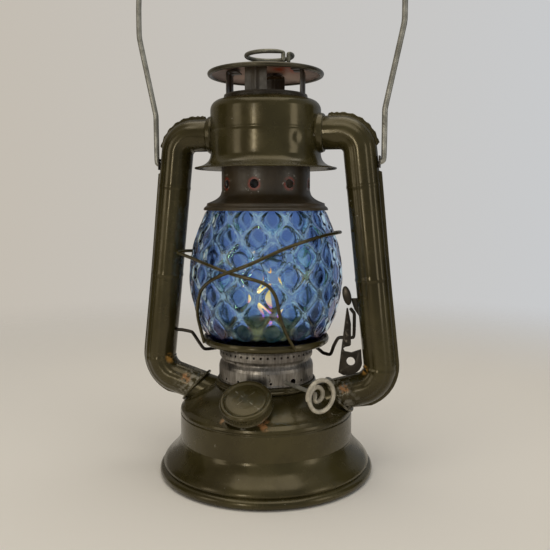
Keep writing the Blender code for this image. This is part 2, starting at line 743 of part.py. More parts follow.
def tube_rings(side, path, radius, seams, end_plane=None):
    """Rings of a section along a path in the XZ plane, the last one slid onto the end plane."""
    rings = []
    for i, point in enumerate(path):
        before, after = path[max(i - 1, 0)], path[min(i + 1, len(path) - 1)]
        along = (after - before).normalized()
        out = turn(along)
        ring = []
        for outward, across in section(radius, seams[i]):
            x, z = point + out * outward
            if end_plane and i == len(path) - 1:
                centre, normal = end_plane
                slide = (centre - Vector((x, z))).dot(normal) / along.dot(normal)
                x, z = Vector((x, z)) + along * slide
            ring.append((side * x, across, z))
        rings.append(ring)
    return rings


def make_tube(side, tag):
    path = tube_path()
    centre, normal = socket_plane()
    end_plane = (centre + normal * GAP, normal)
    seams = [0.02 * MM if i < 2 else TUBE_SEAM_H for i in range(len(path))]
    seams[-1] = 0.02 * MM
    flat = [0.01 * MM] * len(path)
    outside = tube_rings(side, path, TUBE_R, seams, end_plane)
    inside = tube_rings(side, path, TUBE_R - TUBE_WALL, flat, end_plane)
    tube = lofted("air_tube_" + tag, outside + inside[::-1], OLIVE, closed_ends=False)
    xs = sorted((side * bail_ear_face(), side * (bail_ear_face() + 4 * TUBE_SEAM_H)))
    low = (xs[0], -TUBE_SEAM_T, BAIL_Z - BAIL_EAR_H - GAP)
    high = (xs[1], TUBE_SEAM_T, BAIL_Z + BAIL_STRAIGHT)
    cut(tube, box("cut_seam_" + tag, low, high), solver="MANIFOLD")
    if side < 0:
        start = (side * (tube_face_x(PIVOT_Z) - 2 * MM), 0, PIVOT_Z)
        end = (side * tube_x(PIVOT_Z), 0, PIVOT_Z)
        hole = rod("cut_tube_pivot", start, end, LIFT_WIRE_R + GAP, segments=8)
        cut(tube, hole, solver="MANIFOLD")

    # The socket is an arch on the tank's top that the tube ends against, with a flange.
    along = -entry_direction()
    inner_end = centre - along * (centre[0] - 18 * MM) / along[0]
    stations = [
        (inner_end, TUBE_R, None),
        (centre - normal * SOCKET_FLANGE_T, TUBE_R, True),
        (centre - normal * SOCKET_FLANGE_T, TUBE_R + SOCKET_FLANGE_H, True),
        (centre, TUBE_R + SOCKET_FLANGE_H, True),
        (centre, TUBE_R - TUBE_WALL, True),
        (inner_end, TUBE_R - TUBE_WALL, None),
    ]
    rings = []
    for point, radius, on_plane in stations:
        pair = [point - along, point]
        plane = (point, normal) if on_plane else None
        rings.append(tube_rings(side, pair, radius, (0.01 * MM, 0.01 * MM), plane)[-1])
    socket = lofted("tube_socket_" + tag, rings, OLIVE, closed_ends=False)
    cut(socket, tank_solid("cut_socket_" + tag))


# ---------------------------------------------------------------- globe and its carrier


def globe_shape():
    """(radius, height above its foot) points of the globe's outer side."""
    belly = GLOBE_R
    foot, mouth = GLOBE_FOOT_R, GLOBE_MOUTH_R
    return [
        (foot, 0.0),
        (foot + GLOBE_FOOT_SPREAD, 0.055 * GLOBE_H),
        (foot + 0.70 * (belly - foot), 0.19 * GLOBE_H),
        (belly, 0.445 * GLOBE_H),
        (mouth + 0.80 * (belly - mouth), 0.70 * GLOBE_H),
        (mouth + 0.30 * (belly - mouth), 0.90 * GLOBE_H),
        (mouth, GLOBE_H),
    ]


def globe_outline(steps=2):
    return [(r, GLOBE_Z + h) for r, h in smooth(globe_shape(), steps)]


def globe_r(z):
    """The globe's outer radius at a height, and its foot's radius below it."""
    outline = globe_outline(6)
    for (r0, z0), (r1, z1) in zip(outline, outline[1:]):
        if z0 <= z <= z1:
            return r0 + (r1 - r0) * (z - z0) / (z1 - z0)
    return outline[0][0]


def make_globe():
    turned("globe", shell(globe_outline(), GLOBE_WALL), BLUE_GLASS)
    rim_in = PLATE_R - 1.9 * MM
    dish = [
        (PLATE_HOLE_R, PLATE_Z),
        (rim_in - 1.0 * MM, PLATE_Z),
        (PLATE_R - 1.2 * MM, PLATE_Z - 0.5 * MM),
        (PLATE_R - 0.2 * MM, PLATE_Z + 0.5 * MM),
        (PLATE_R, PLATE_Z + 0.55 * PLATE_RIM_H),
        (PLATE_R - 0.5 * MM, PLATE_Z + PLATE_RIM_H),
        (PLATE_R - 1.4 * MM, PLATE_Z + PLATE_RIM_H),
        (rim_in, PLATE_Z + 0.6 * PLATE_RIM_H),
        (rim_in - 0.4 * MM, PLATE_Z + SHEET + 0.3 * MM),
        (rim_in - 1.4 * MM, PLATE_Z + SHEET),
        (PLATE_HOLE_R, PLATE_Z + SHEET),
    ]
    turned("globe_plate", dish, OLIVE)


def guard_point(azimuth, up, stand_off):
    """A point off the globe's side: azimuth in degrees from the front, up in shares of its height."""
    z = GLOBE_Z + up * GLOBE_H
    r = globe_r(z) + GUARD_WIRE_R + stand_off
    a = math.radians(azimuth - 90)
    return Vector((r * math.cos(a), r * math.sin(a), z))


def guard_foot(azimuth):
    a = math.radians(azimuth - 90)
    r = PLATE_R + GUARD_WIRE_R + GAP
    return Vector((r * math.cos(a), r * math.sin(a), PLATE_Z + 0.35 * PLATE_RIM_H))


def make_guards():
    """Two bent wires round the globe. Each climbs from the plate at the front, crosses the other,
    turns in an ear beside the globe, and comes down the same way at the back."""
    near, far = GUARD_OFF_SHARE * GLOBE_R, 2.9 * MM
    low = [guard_foot(39), guard_point(30, 0.13, near), guard_point(24, 0.26, near),
           guard_point(21.5, 0.38, near), guard_point(17, 0.46, near), guard_point(10, 0.50, near),
           guard_point(-3, 0.531, near), guard_point(-13, 0.555, near),
           guard_point(-32, 0.60, near), guard_point(-57, 0.625, near)]
    ear_x = -(tube_face_x(GLOBE_Z + 0.65 * GLOBE_H) + 0.5 * MM)
    ear_z = GLOBE_Z + 0.646 * GLOBE_H
    low += [Vector((ear_x + 5 * MM, -GUARD_EAR_SHARE * GLOBE_R, ear_z - 0.6 * MM)),
            Vector((ear_x, -9.8 * MM, ear_z)),
            Vector((ear_x + 1.6 * MM, -5.4 * MM, ear_z + 0.4 * MM)),
            guard_point(-90, 0.65, 2.0 * MM)]
    back = [Vector((p.x, -p.y, p.z)) for p in low[9::-1]]
    wire("guard_wire_low", smooth(low + back, 2), GUARD_WIRE_R, OLIVE)

    high = [guard_foot(-52), guard_point(-55, 0.13, near), guard_point(-49, 0.23, near),
            guard_point(-41, 0.34, near), guard_point(-36, 0.41, near),
            guard_point(-29, 0.46, 1.2 * MM), guard_point(-21, 0.505, far),
            guard_point(-10, 0.555, far), guard_point(4, 0.611, far), guard_point(17, 0.67, near),
            guard_point(31, 0.724, near), guard_point(48, 0.765, near),
            guard_point(65, 0.79, near), guard_point(80, 0.80, 2.0 * MM),
            guard_point(88, 0.803, 3.0 * MM)]
    back = [Vector((p.x, -p.y, p.z)) for p in high[::-1]]
    wire("guard_wire_high", smooth(high + back, 2), GUARD_WIRE_R, OLIVE)


# ---------------------------------------------------------------- chimney, cap and ring


def make_chimney(carrier):
    seat = FLARE_SEAT_Z - CHIMNEY_Z
    body = [
        (FLARE_R, CHIMNEY_Z),
        (FLARE_R, CHIMNEY_Z + 1.0 * MM),
        (FLARE_R - 1.9 * MM, CHIMNEY_Z + 2.6 * MM),
        (FLARE_R - 2.0 * MM, CHIMNEY_Z + seat + 0.4 * MM),
        (FLARE_R - 3.4 * MM, CHIMNEY_Z + seat + SHEET + 0.3 * MM),
        (CHIMNEY_R + 3.6 * MM, CHIMNEY_Z + 0.54 * FLARE_H),
        (CHIMNEY_R + 1.0 * MM, CHIMNEY_Z + 0.74 * FLARE_H),
        (CHIMNEY_R, CHIMNEY_Z + FLARE_H),
        (CHIMNEY_R, CHIMNEY_STEP_Z),
        (CHIMNEY_TOP_R, CHIMNEY_STEP_Z + 1.2 * MM),
        (CHIMNEY_TOP_R, CHIMNEY_TOP_Z),
    ]
    chimney = turned("chimney", shell(body, SHEET), OLIVE)
    hang(chimney, carrier)
    for i in range(DRAUGHT_HOLES // 2):
        a = math.tau * i / DRAUGHT_HOLES
        z = CHIMNEY_Z + DRAUGHT_HOLE_UP
        x, y = 2 * CHIMNEY_R * math.cos(a), 2 * CHIMNEY_R * math.sin(a)
        hole = rod(f"cut_draught_{i}", (-x, -y, z), (x, y, z), DRAUGHT_HOLE_R, segments=8)
        cut(chimney, hole)

    seat_z = CHIMNEY_STEP_Z + 1.2 * MM + GAP
    ring = [(CHIMNEY_TOP_R + GAP, seat_z), (HOOD_R - 3.2 * MM, seat_z),
            (HOOD_R - 3.2 * MM, seat_z + SHEET), (CHIMNEY_TOP_R + GAP, seat_z + SHEET)]
    hang(turned("spring_seat", ring, BARE_STEEL), carrier)

    coil_r = CHIMNEY_TOP_R + 1.2 * MM + 2 * SPRING_WIRE_R
    low = seat_z + SHEET + GAP + SPRING_WIRE_R
    high = HOOD_TOP_Z - 1.9 * MM - SHEET - SPRING_WIRE_R - GAP
    count = 12 * SPRING_TURNS
    coil = []
    for i in range(count + 1):
        a = math.tau * SPRING_TURNS * i / count
        share = min(1.0, max(0.0, (i - 6) / (count - 12)))
        coil.append((coil_r * math.cos(a), coil_r * math.sin(a), low + (high - low) * share))
    wire("chimney_spring", coil, SPRING_WIRE_R, ZINC, bevel=0)


def cap_under_z(radius):
    """Height of the cap's underside at a radius."""
    share = radius / (CAP_R - 4 * MM)
    return CAP_Z + 1.6 * MM + CAP_RISE * (1 - share * share) - SHEET


def make_cap(carrier):
    for name, degrees in (("front", -90), ("right", 0), ("back", 90), ("left", 180)):
        half = LEG_WIDTH / 2
        r = math.sqrt((CHIMNEY_TOP_R - SHEET - GAP) ** 2 - half**2)
        foot = CHIMNEY_TOP_Z - LEG_LAP
        head = cap_under_z(r) - GAP
        strip = [(r, foot), (r, head), (r - 6 * MM, head), (r - 6 * MM, head - SHEET),
                 (r - SHEET, head - SHEET), (r - SHEET, foot)]
        leg = plate("cap_leg_" + name, strip, -half, half, OLIVE)
        leg.data.transform(Matrix.Rotation(math.radians(degrees), 4, "Z"))
        hang(leg, carrier)

    disc = [(0, cap_under_z(0)), (12 * MM, cap_under_z(12 * MM)), (21 * MM, cap_under_z(21 * MM)),
            (CAP_R - 3.4 * MM, cap_under_z(CAP_R - 3.4 * MM))]
    bead = arc((CAP_R - 1.3 * MM, CAP_Z + 0.3 * MM), 1.3 * MM, 200, 460, 6)
    upper = [(r, z + SHEET) for r, z in disc[::-1]]
    hang(turned("cap", disc + bead + upper, OLIVE), carrier)

    centre = Vector((2.0 * MM, 0.5 * MM, 0))
    top = cap_under_z(0) + SHEET + LIFT_RING_ABOVE
    ends = (-41, -23)
    ring = []
    for i in range(19):
        a = math.radians(ends[1] + (360 + ends[0] - ends[1]) * i / 18)
        ring.append(centre + Vector((math.cos(a), math.sin(a), 0)) * LIFT_RING_R)
    path = [Vector((p.x, p.y, top)) for p in ring]
    for end, at in ((path[0], 0), (path[-1], len(path) + 2)):
        floor = cap_under_z(end.xy.length) + SHEET + GAP
        leg = [Vector((end.x, end.y, floor)), Vector((end.x, end.y, top - 1.0 * MM))]
        path[at:at] = leg if at == 0 else leg[::-1]
    hang(wire("lift_ring", path, LIFT_RING_WIRE_R, OLIVE), carrier)


# ---------------------------------------------------------------- globe lift


def make_lift():
    """The crank, from its pivot in the left tube, under the plate and round the back of the
    burner, to the bracket on the right tube, where it turns up into the thumb lever."""
    axis = axis_empty("lift_axis", (0, 0, PIVOT_Z))
    face = tube_face_x(PIVOT_Z)
    low = PIVOT_Z - CRANK_DROP
    arm_x = face - 3.9 * MM
    back = []
    for degrees in (25, 55, 90, 125, 155):
        a = math.radians(degrees)
        z = low + (PLATE_Z - GAP - LIFT_WIRE_R - 0.5 * MM - low) * math.sin(a) ** 2
        back.append(Vector((CRANK_BACK_R * math.cos(a), CRANK_BACK_R * math.sin(a), z)))
    right = [(face - 13.0 * MM, 0, PIVOT_Z),
             (face - 15.6 * MM, 0.3 * MM, PIVOT_Z - 5.5 * MM),
             (face - 17.6 * MM, 3 * MM, low), (PLATE_R - 4 * MM, 7 * MM, low + 0.3 * MM)]
    left = [(6.4 * MM - PLATE_R, 9 * MM, low), (16.2 * MM - face, 1.5 * MM, low - 0.4 * MM),
            (9.6 * MM - face, 0, PIVOT_Z - 0.9 * MM), (3 * MM - face, 0, PIVOT_Z),
            (-face - 2.5 * MM, 0, PIVOT_Z)]
    arm = [(face - 6.4 * MM, 0, PIVOT_Z + LIFT_ARM_UP),
           (arm_x, 0, PIVOT_Z + LIFT_ARM_UP - 3.0 * MM), (arm_x, 0, PIVOT_Z)]
    corners = arm + right + back + left
    radii = [1.8 * MM, 1.3 * MM, 2.4 * MM, 2.4 * MM, 3 * MM, 3 * MM]
    radii += [8 * MM] * len(back) + [5 * MM, 3 * MM, 2.4 * MM, 2 * MM]
    corners = [Vector(c) for c in corners]
    reach = [min((b - a).length, (c - b).length) for a, b, c in zip(corners, corners[1:], corners[2:])]
    fitted = []
    for i, radius in enumerate(radii[: len(reach)]):
        a, b, c = corners[i : i + 3]
        half = (a - b).angle(c - b) / 2
        fitted.append(min(radius, 0.48 * reach[i] * math.tan(half)))
    hang(wire("lift_wire", rounded(corners, fitted, 2), LIFT_WIRE_R, BARE_STEEL), axis)

    foot = Vector((face - 6.9 * MM, PIVOT_Z + LIFT_ARM_UP + LIFT_WIRE_R + GAP + 0.2 * MM))
    lean = math.radians(14)
    up = Vector((-math.sin(lean), math.cos(lean)))
    leaf = []
    for i in range(16):
        a = math.tau * i / 16
        leaf.append(foot + up * (5.5 * MM + 5.5 * MM * math.sin(a)) - turn(up) * 2.3 * MM * math.cos(a))
    thumb = plate("lift_thumb", [tuple(p) for p in leaf], -1.2 * MM, 1.2 * MM, BARE_STEEL)
    hang(thumb, axis)


def make_lift_bracket():
    """The plate on the right tube that carries the crank's pivot, with its notch and hole, and the
    small catch above it that the thumb lever leans on."""
    face = tube_face_x(PIVOT_Z)
    pivot = Vector((face, PIVOT_Z))
    path = tube_path()[8:]
    seat = []
    for before, point, after in zip(path, path[1:], path[2:]):
        out = turn((after - before).normalized())
        seat.append(point - out * (TUBE_R + GAP))
    outline = [pivot + Vector(BRACKET_TIP)]
    outline += [Vector((face + x, TUBE_LOW_CORNER[1] + z)) for x, z in BRACKET_FOOT]
    outline += [p for p in seat[::-1] if p[0] > face - BRACKET_REACH]
    high = PIVOT_Z - BRACKET_NOTCH_DROP
    outline.append(Vector((tube_face_x(high) - GAP, high)))
    outline += [pivot + Vector(p) for p in BRACKET_NOTCH]
    front = -LIFT_WIRE_R - 0.5 * MM
    bracket = plate("lift_bracket", outline, front - SHEET, front, OLIVE)
    hole = face - BRACKET_HOLE[0], PIVOT_Z - BRACKET_HOLE[1]
    drill = rod("cut_bracket_hole", (hole[0], -TUBE_R, hole[1]), (hole[0], TUBE_R, hole[1]),
                BRACKET_HOLE_R)
    eye_r = LIFT_WIRE_R + GAP
    start, end = (face - 10.0 * MM, 0, PIVOT_Z), (face - 6.2 * MM, 0, PIVOT_Z)
    eye = rod("join_bracket_eye", start, end, eye_r + 0.6 * MM)
    bore = rod("cut_bracket_eye", (face - 14 * MM, 0, PIVOT_Z), (face, 0, PIVOT_Z), eye_r)
    cut(bracket, drill)
    cut(bracket, eye, "UNION")
    cut(bracket, bore)

    outline = [pivot + Vector(p) for p in CATCH_FREE_EDGE]
    for up in CATCH_FOOT:
        outline.append(Vector((tube_face_x(PIVOT_Z + up) - GAP, PIVOT_Z + up)))
    back = LIFT_WIRE_R + GAP
    plate("lift_catch", outline, back, back + SHEET, OLIVE)


# ---------------------------------------------------------------- bail


def bail_ear_face():
    """The furthest x of the tube's round side over the height of the bail's ear."""
    corners = [Vector((HOOD_R, PORT_Z)), TUBE_TOP_CORNER, TUBE_LOW_CORNER]
    path = rounded(corners, (TUBE_TOP_BEND_R,), 24)
    path.insert(-1, path[-2].lerp(path[-1], 0.12))
    furthest = 0.0
    for before, point, after in zip(path, path[1:], path[2:]):
        edge = point + turn((after - before).normalized()) * TUBE_R
        if abs(edge[1] - BAIL_Z) < 2 * BAIL_EAR_H:
            furthest = max(furthest, edge[0])
    return furthest


def make_bail():
    axis = axis_empty("bail_axis", (0, 0, BAIL_Z), (1, 0, 0))
    ear_t = SHEET
    ear_x = bail_ear_face() + GAP
    pivot_x = ear_x + ear_t + BAIL_WIRE_R + GAP
    knee = BAIL_Z + BAIL_STRAIGHT
    lean_top = knee + BAIL_LEAN_H
    wide = pivot_x + BAIL_SPREAD
    rise = BAIL_ARCH_R * 0.98
    half = [(ear_x + GAP, BAIL_Z), (pivot_x, BAIL_Z), (pivot_x, knee), (wide, lean_top)]
    bend = rounded(half + [(wide, lean_top + 20 * MM)], (BAIL_WIRE_R + 0.3 * MM, 14 * MM, 26 * MM), 3)
    for i in range(1, 9):
        a = math.radians(90 * i / 8)
        bend.append(Vector((wide * math.cos(a), lean_top + 20 * MM + rise * math.sin(a))))
    right = [Vector((x, 0, z)) for x, z in bend]
    left = [Vector((-p.x, 0, p.z)) for p in right[-2::-1]]
    bail = wire("bail", right + left, BAIL_WIRE_R, ZINC)
    bail.parent = axis
    bail.rotation_mode = "QUATERNION"
    turn_back = axis.rotation_quaternion.inverted()
    bail.data.transform(turn_back.to_matrix().to_4x4() @ Matrix.Translation(-axis.location))

    for side, tag in ((-1, "left"), (1, "right")):
        xs = sorted((side * ear_x, side * (ear_x + ear_t)))
        low, high = (xs[0], -BAIL_EAR_H, BAIL_Z - BAIL_EAR_H), (xs[1], BAIL_EAR_H, BAIL_Z + BAIL_EAR_H)
        ear = box("bail_ear_" + tag, low, high, OLIVE)
        start, end = (side * (ear_x - 3 * MM), 0, BAIL_Z), (side * (ear_x + 5 * MM), 0, BAIL_Z)
        cut(ear, rod("cut_ear_" + tag, start, end, BAIL_WIRE_R + GAP))


# ---------------------------------------------------------------- assembly


def main():
    for obj in list(bpy.data.objects):
        bpy.data.objects.remove(obj)
    make_tank()
    make_filler()
    make_burner()
    make_wick()
    make_wick_raiser()
    make_hood()
    for side, tag in ((-1, "left"), (1, "right")):
        make_tube(side, tag)
    make_globe()
    make_guards()
    carrier = axis_empty("chimney_slide", (0, 0, CHIMNEY_Z))
    make_chimney(carrier)
    make_cap(carrier)
    make_lift()
    make_lift_bracket()
    make_bail()


main()
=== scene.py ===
"""The looks of a tubular oil lantern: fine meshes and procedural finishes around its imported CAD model.

Metres, +Z up, origin under the middle of the tank. The side tubes lie on X and the filler faces -Y.
Each fine piece takes its place from the CAD node that it stands for.
"""

import math

import bmesh
import bpy
from mathutils import Matrix, Vector


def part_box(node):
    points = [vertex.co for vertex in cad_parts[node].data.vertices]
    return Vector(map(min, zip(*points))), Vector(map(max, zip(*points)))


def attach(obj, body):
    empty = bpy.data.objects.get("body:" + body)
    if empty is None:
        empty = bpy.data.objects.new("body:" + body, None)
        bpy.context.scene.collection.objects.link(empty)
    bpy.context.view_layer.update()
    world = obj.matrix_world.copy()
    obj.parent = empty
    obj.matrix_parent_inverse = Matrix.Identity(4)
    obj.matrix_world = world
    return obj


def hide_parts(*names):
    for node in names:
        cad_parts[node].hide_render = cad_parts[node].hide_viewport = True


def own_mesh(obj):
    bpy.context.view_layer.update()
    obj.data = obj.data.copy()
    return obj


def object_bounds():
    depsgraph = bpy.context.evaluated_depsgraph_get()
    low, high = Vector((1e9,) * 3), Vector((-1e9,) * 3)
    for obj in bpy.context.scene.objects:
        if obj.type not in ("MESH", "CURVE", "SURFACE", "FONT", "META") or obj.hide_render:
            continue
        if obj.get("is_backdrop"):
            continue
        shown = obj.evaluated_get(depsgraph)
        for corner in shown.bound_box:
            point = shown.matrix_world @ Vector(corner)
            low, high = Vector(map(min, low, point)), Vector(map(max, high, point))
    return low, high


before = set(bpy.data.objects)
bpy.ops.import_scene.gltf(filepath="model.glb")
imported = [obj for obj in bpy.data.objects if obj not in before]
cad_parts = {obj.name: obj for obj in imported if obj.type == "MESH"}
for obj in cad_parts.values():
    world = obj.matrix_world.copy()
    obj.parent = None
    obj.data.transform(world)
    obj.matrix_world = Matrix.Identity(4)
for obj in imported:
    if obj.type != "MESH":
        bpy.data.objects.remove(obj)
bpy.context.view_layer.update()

MM = 0.001
TAU = math.tau
SHEET = 0.7 * MM
BURNER_SHEET = 0.6 * MM
GAP = 0.3 * MM
FINE = 192
MEDIUM = 96


# ---------------------------------------------------------------- places read from the frame


def width_of(node):
    """Half the node's extent along X, which is the radius of a round node."""
    low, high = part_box(node)
    return (high.x - low.x) / 2


def bottom(node):
    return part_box(node)[0].z


def top(node):
    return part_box(node)[1].z


def middle(node):
    low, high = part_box(node)
    return (low + high) / 2


# ---------------------------------------------------------------- outlines and curves


def turn(vector):
    return Vector((-vector[1], vector[0]))


def arc(centre, radius, start, end, steps):
    """Points on an arc between two angles in degrees."""
    angles = [math.radians(start + (end - start) * i / steps) for i in range(steps + 1)]
    return [(centre[0] + radius * math.cos(a), centre[1] + radius * math.sin(a)) for a in angles]


def rounded(corners, radii, steps):
    """A line through corners whose inner corners are rounded with arcs. Works in 2D and 3D."""
    corners = [Vector(c) for c in corners]
    path = [corners[0]]
    for before, corner, after, radius in zip(corners, corners[1:], corners[2:], radii):
        back = (before - corner).normalized()
        ahead = (after - corner).normalized()
        half = back.angle(ahead) / 2
        if half > math.radians(89.5):
            path.append(corner)
            continue
        radius = min(radius, 0.49 * min((before - corner).length, (after - corner).length)
                     * math.tan(half))
        centre = corner + (back + ahead).normalized() * (radius / math.sin(half))
        radial = (corner + back * (radius / math.tan(half)) - centre).normalized()
        sweep = math.pi - 2 * half
        for i in range(steps + 1):
            a = sweep * i / steps
            path.append(centre + (radial * math.cos(a) - back * math.sin(a)) * radius)
    path.append(corners[-1])
    return path


def smooth(points, steps):
    """Points on a Catmull-Rom curve through the given points."""
    points = [Vector(p) for p in points]
    ends = [2 * points[0] - points[1]] + points + [2 * points[-1] - points[-2]]
    path = []
    for a, b, c, d in zip(ends, ends[1:], ends[2:], ends[3:]):
        for i in range(steps):
            t = i / steps
            path.append(
                0.5 * (2 * b + (c - a) * t + (2 * a - 5 * b + 4 * c - d) * t**2
                       + (3 * b - 3 * c + d - a) * t**3)
            )
    path.append(points[-1])
    return path


def offsets(radius, height, *steps):
    """Outline points, each given in millimetres from one radius and one height."""
    return [(radius + r * MM, height + z * MM) for r, z in steps]


def soften(corners, radius, steps=4):
    """A 2D outline with all of its inner corners rounded by one radius."""
    return rounded(corners, [radius] * (len(corners) - 2), steps)


def shell(outline, wall):
    """A closed outline: the given outer side and its copy moved in by the wall."""
    outline = [Vector(p) for p in outline]
    inner = []
    for i, point in enumerate(outline):
        before = outline[max(i - 1, 0)]
        after = outline[min(i + 1, len(outline) - 1)]
        into = (point - before).normalized() if i else (after - point).normalized()
        out = (after - point).normalized() if i < len(outline) - 1 else into
        normal = (turn(into) + turn(out)).normalized()
        inner.append(point + normal * (wall / max(normal.dot(turn(out)), 0.5)))
    return outline + inner[::-1]


def ease(value, low, high):
    """0 below low and 1 above high, turning smoothly between them."""
    t = min(1.0, max(0.0, (value - low) / (high - low)))
    return t * t * (3 - 2 * t)


# ---------------------------------------------------------------- meshes


def mesh_piece(name, points, faces, material, sharp=38):
    mesh = bpy.data.meshes.new(name)
    bm = bmesh.new()
    verts = [bm.verts.new(p) for p in points]
    for face in faces:
        bm.faces.new([verts[i] for i in face])
    bmesh.ops.recalc_face_normals(bm, faces=bm.faces)
    if bm.calc_volume(signed=True) < 0:
        bmesh.ops.reverse_faces(bm, faces=bm.faces)
    bm.to_mesh(mesh)
    bm.free()
    mesh.shade_smooth()
    mesh.set_sharp_from_angle(angle=math.radians(sharp))
    mesh.materials.append(material)
    obj = bpy.data.objects.new(name, mesh)
    bpy.context.scene.collection.objects.link(obj)
    return obj


def turned(name, outline, material, segments=FINE, wobble=None, place=None, sharp=38):
    """A closed outline of (radius, height) turned about Z. wobble(radius, height, angle) may
    return a changed radius and height; place is a matrix for a piece turned about another axis."""
    points, rings = [], []
    for radius, height in outline:
        if radius < 1e-7:
            rings.append([len(points)] * segments)
            points.append(Vector((0, 0, height)))
            continue
        rings.append(range(len(points), len(points) + segments))
        for i in range(segments):
            a = TAU * i / segments
            r, z = wobble(radius, height, a) if wobble else (radius, height)
            points.append(Vector((r * math.cos(a), r * math.sin(a), z)))
    if place:
        points = [place @ p for p in points]
    faces = []
    for lower, upper in zip(rings, rings[1:] + rings[:1]):
        for i in range(segments):
            j = (i + 1) % segments
            corners = list(dict.fromkeys((lower[i], lower[j], upper[j], upper[i])))
            if len(corners) > 2:
                faces.append(corners)
    return mesh_piece(name, points, faces, material, sharp)


def lofted(name, rings, material, closed_ends=True, sharp=38):
    """Skins a list of rings of points. With closed_ends False the last ring joins the first."""
    count = len(rings[0])
    points = [p for ring in rings for p in ring]
    pairs = list(zip(range(len(rings)), range(1, len(rings))))
    if not closed_ends:
        pairs.append((len(rings) - 1, 0))
    faces = []
    for a, b in pairs:
        for i in range(count):
            j = (i + 1) % count
            faces.append((a * count + i, a * count + j, b * count + j, b * count + i))
    if closed_ends:
        faces.append(range(count))
        faces.append(range((len(rings) - 1) * count, len(rings) * count))
    return mesh_piece(name, points, faces, material, sharp)


def carved(obj, *cutters):
    """The piece with the cutters' shapes cut out of it, as a final mesh."""
    for cutter in cutters:
        modifier = obj.modifiers.new("cut", "BOOLEAN")
        modifier.solver = "MANIFOLD"
        modifier.object = cutter
    settle(obj)
    for cutter in cutters:
        bpy.data.objects.remove(cutter)
    return obj


def settle(obj):
    """Applies the piece's modifiers."""
    bpy.context.view_layer.update()
    graph = bpy.context.evaluated_depsgraph_get()
    mesh = bpy.data.meshes.new_from_object(obj.evaluated_get(graph))
    obj.modifiers.clear()
    obj.data = mesh
    mesh.shade_smooth()
    mesh.set_sharp_from_angle(angle=math.radians(38))
    return obj


def rod(name, start, end, radius, material, segments=24):
    start, end = Vector(start), Vector(end)
    frame_of = (end - start).to_track_quat("Z", "Y")
    rings = []
    for centre in (start, end):
        angles = [TAU * i / segments for i in range(segments)]
        circle = [Vector((radius * math.cos(a), radius * math.sin(a), 0)) for a in angles]
        rings.append([centre + frame_of @ p for p in circle])
    return lofted(name, rings, material)


def copy_of_node(name, node, material, flat=False):
    """A new piece with the CAD node's mesh, its triangles merged back into quads, or into whole
    flat faces."""
    bm = bmesh.new()
    bm.from_mesh(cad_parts[node].data)
    bmesh.ops.remove_doubles(bm, verts=bm.verts, dist=0.01 * MM)
    if flat:
        bmesh.ops.dissolve_limit(bm, angle_limit=math.radians(0.5), verts=bm.verts, edges=bm.edges)
    bmesh.ops.join_triangles(bm, faces=[f for f in bm.faces if len(f.verts) == 3],
                             angle_face_threshold=math.radians(40),
                             angle_shape_threshold=math.radians(40))
    mesh = bpy.data.meshes.new(name)
    bm.to_mesh(mesh)
    bm.free()
    mesh.materials.append(material)
    obj = bpy.data.objects.new(name, mesh)
    bpy.context.scene.collection.objects.link(obj)
    return obj


def softened_copy(name, node, material, edge):
    """A plate or block from its CAD node, with its edges rounded."""
    obj = copy_of_node(name, node, material, flat=True)
    bevel = obj.modifiers.new("edges", "BEVEL")
    bevel.width = edge
    bevel.segments = 2
    bevel.limit_method = "ANGLE"
    bevel.angle_limit = math.radians(35)
    return settle(obj)


def ride_for(obj, body, slot, *nodes):
    """The piece moves with the body and stands for CAD nodes. The slot is not used."""
    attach(obj, body)
    if nodes:
        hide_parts(*nodes)
    return obj


def mark(obj, name, value):
    """Stores value(point) on each vertex, for a material to read."""
    attribute = obj.data.attributes.new(name, "FLOAT", "POINT")
    attribute.data.foreach_set("value", [value(v.co) for v in obj.data.vertices])
    return obj


# ---------------------------------------------------------------- materials


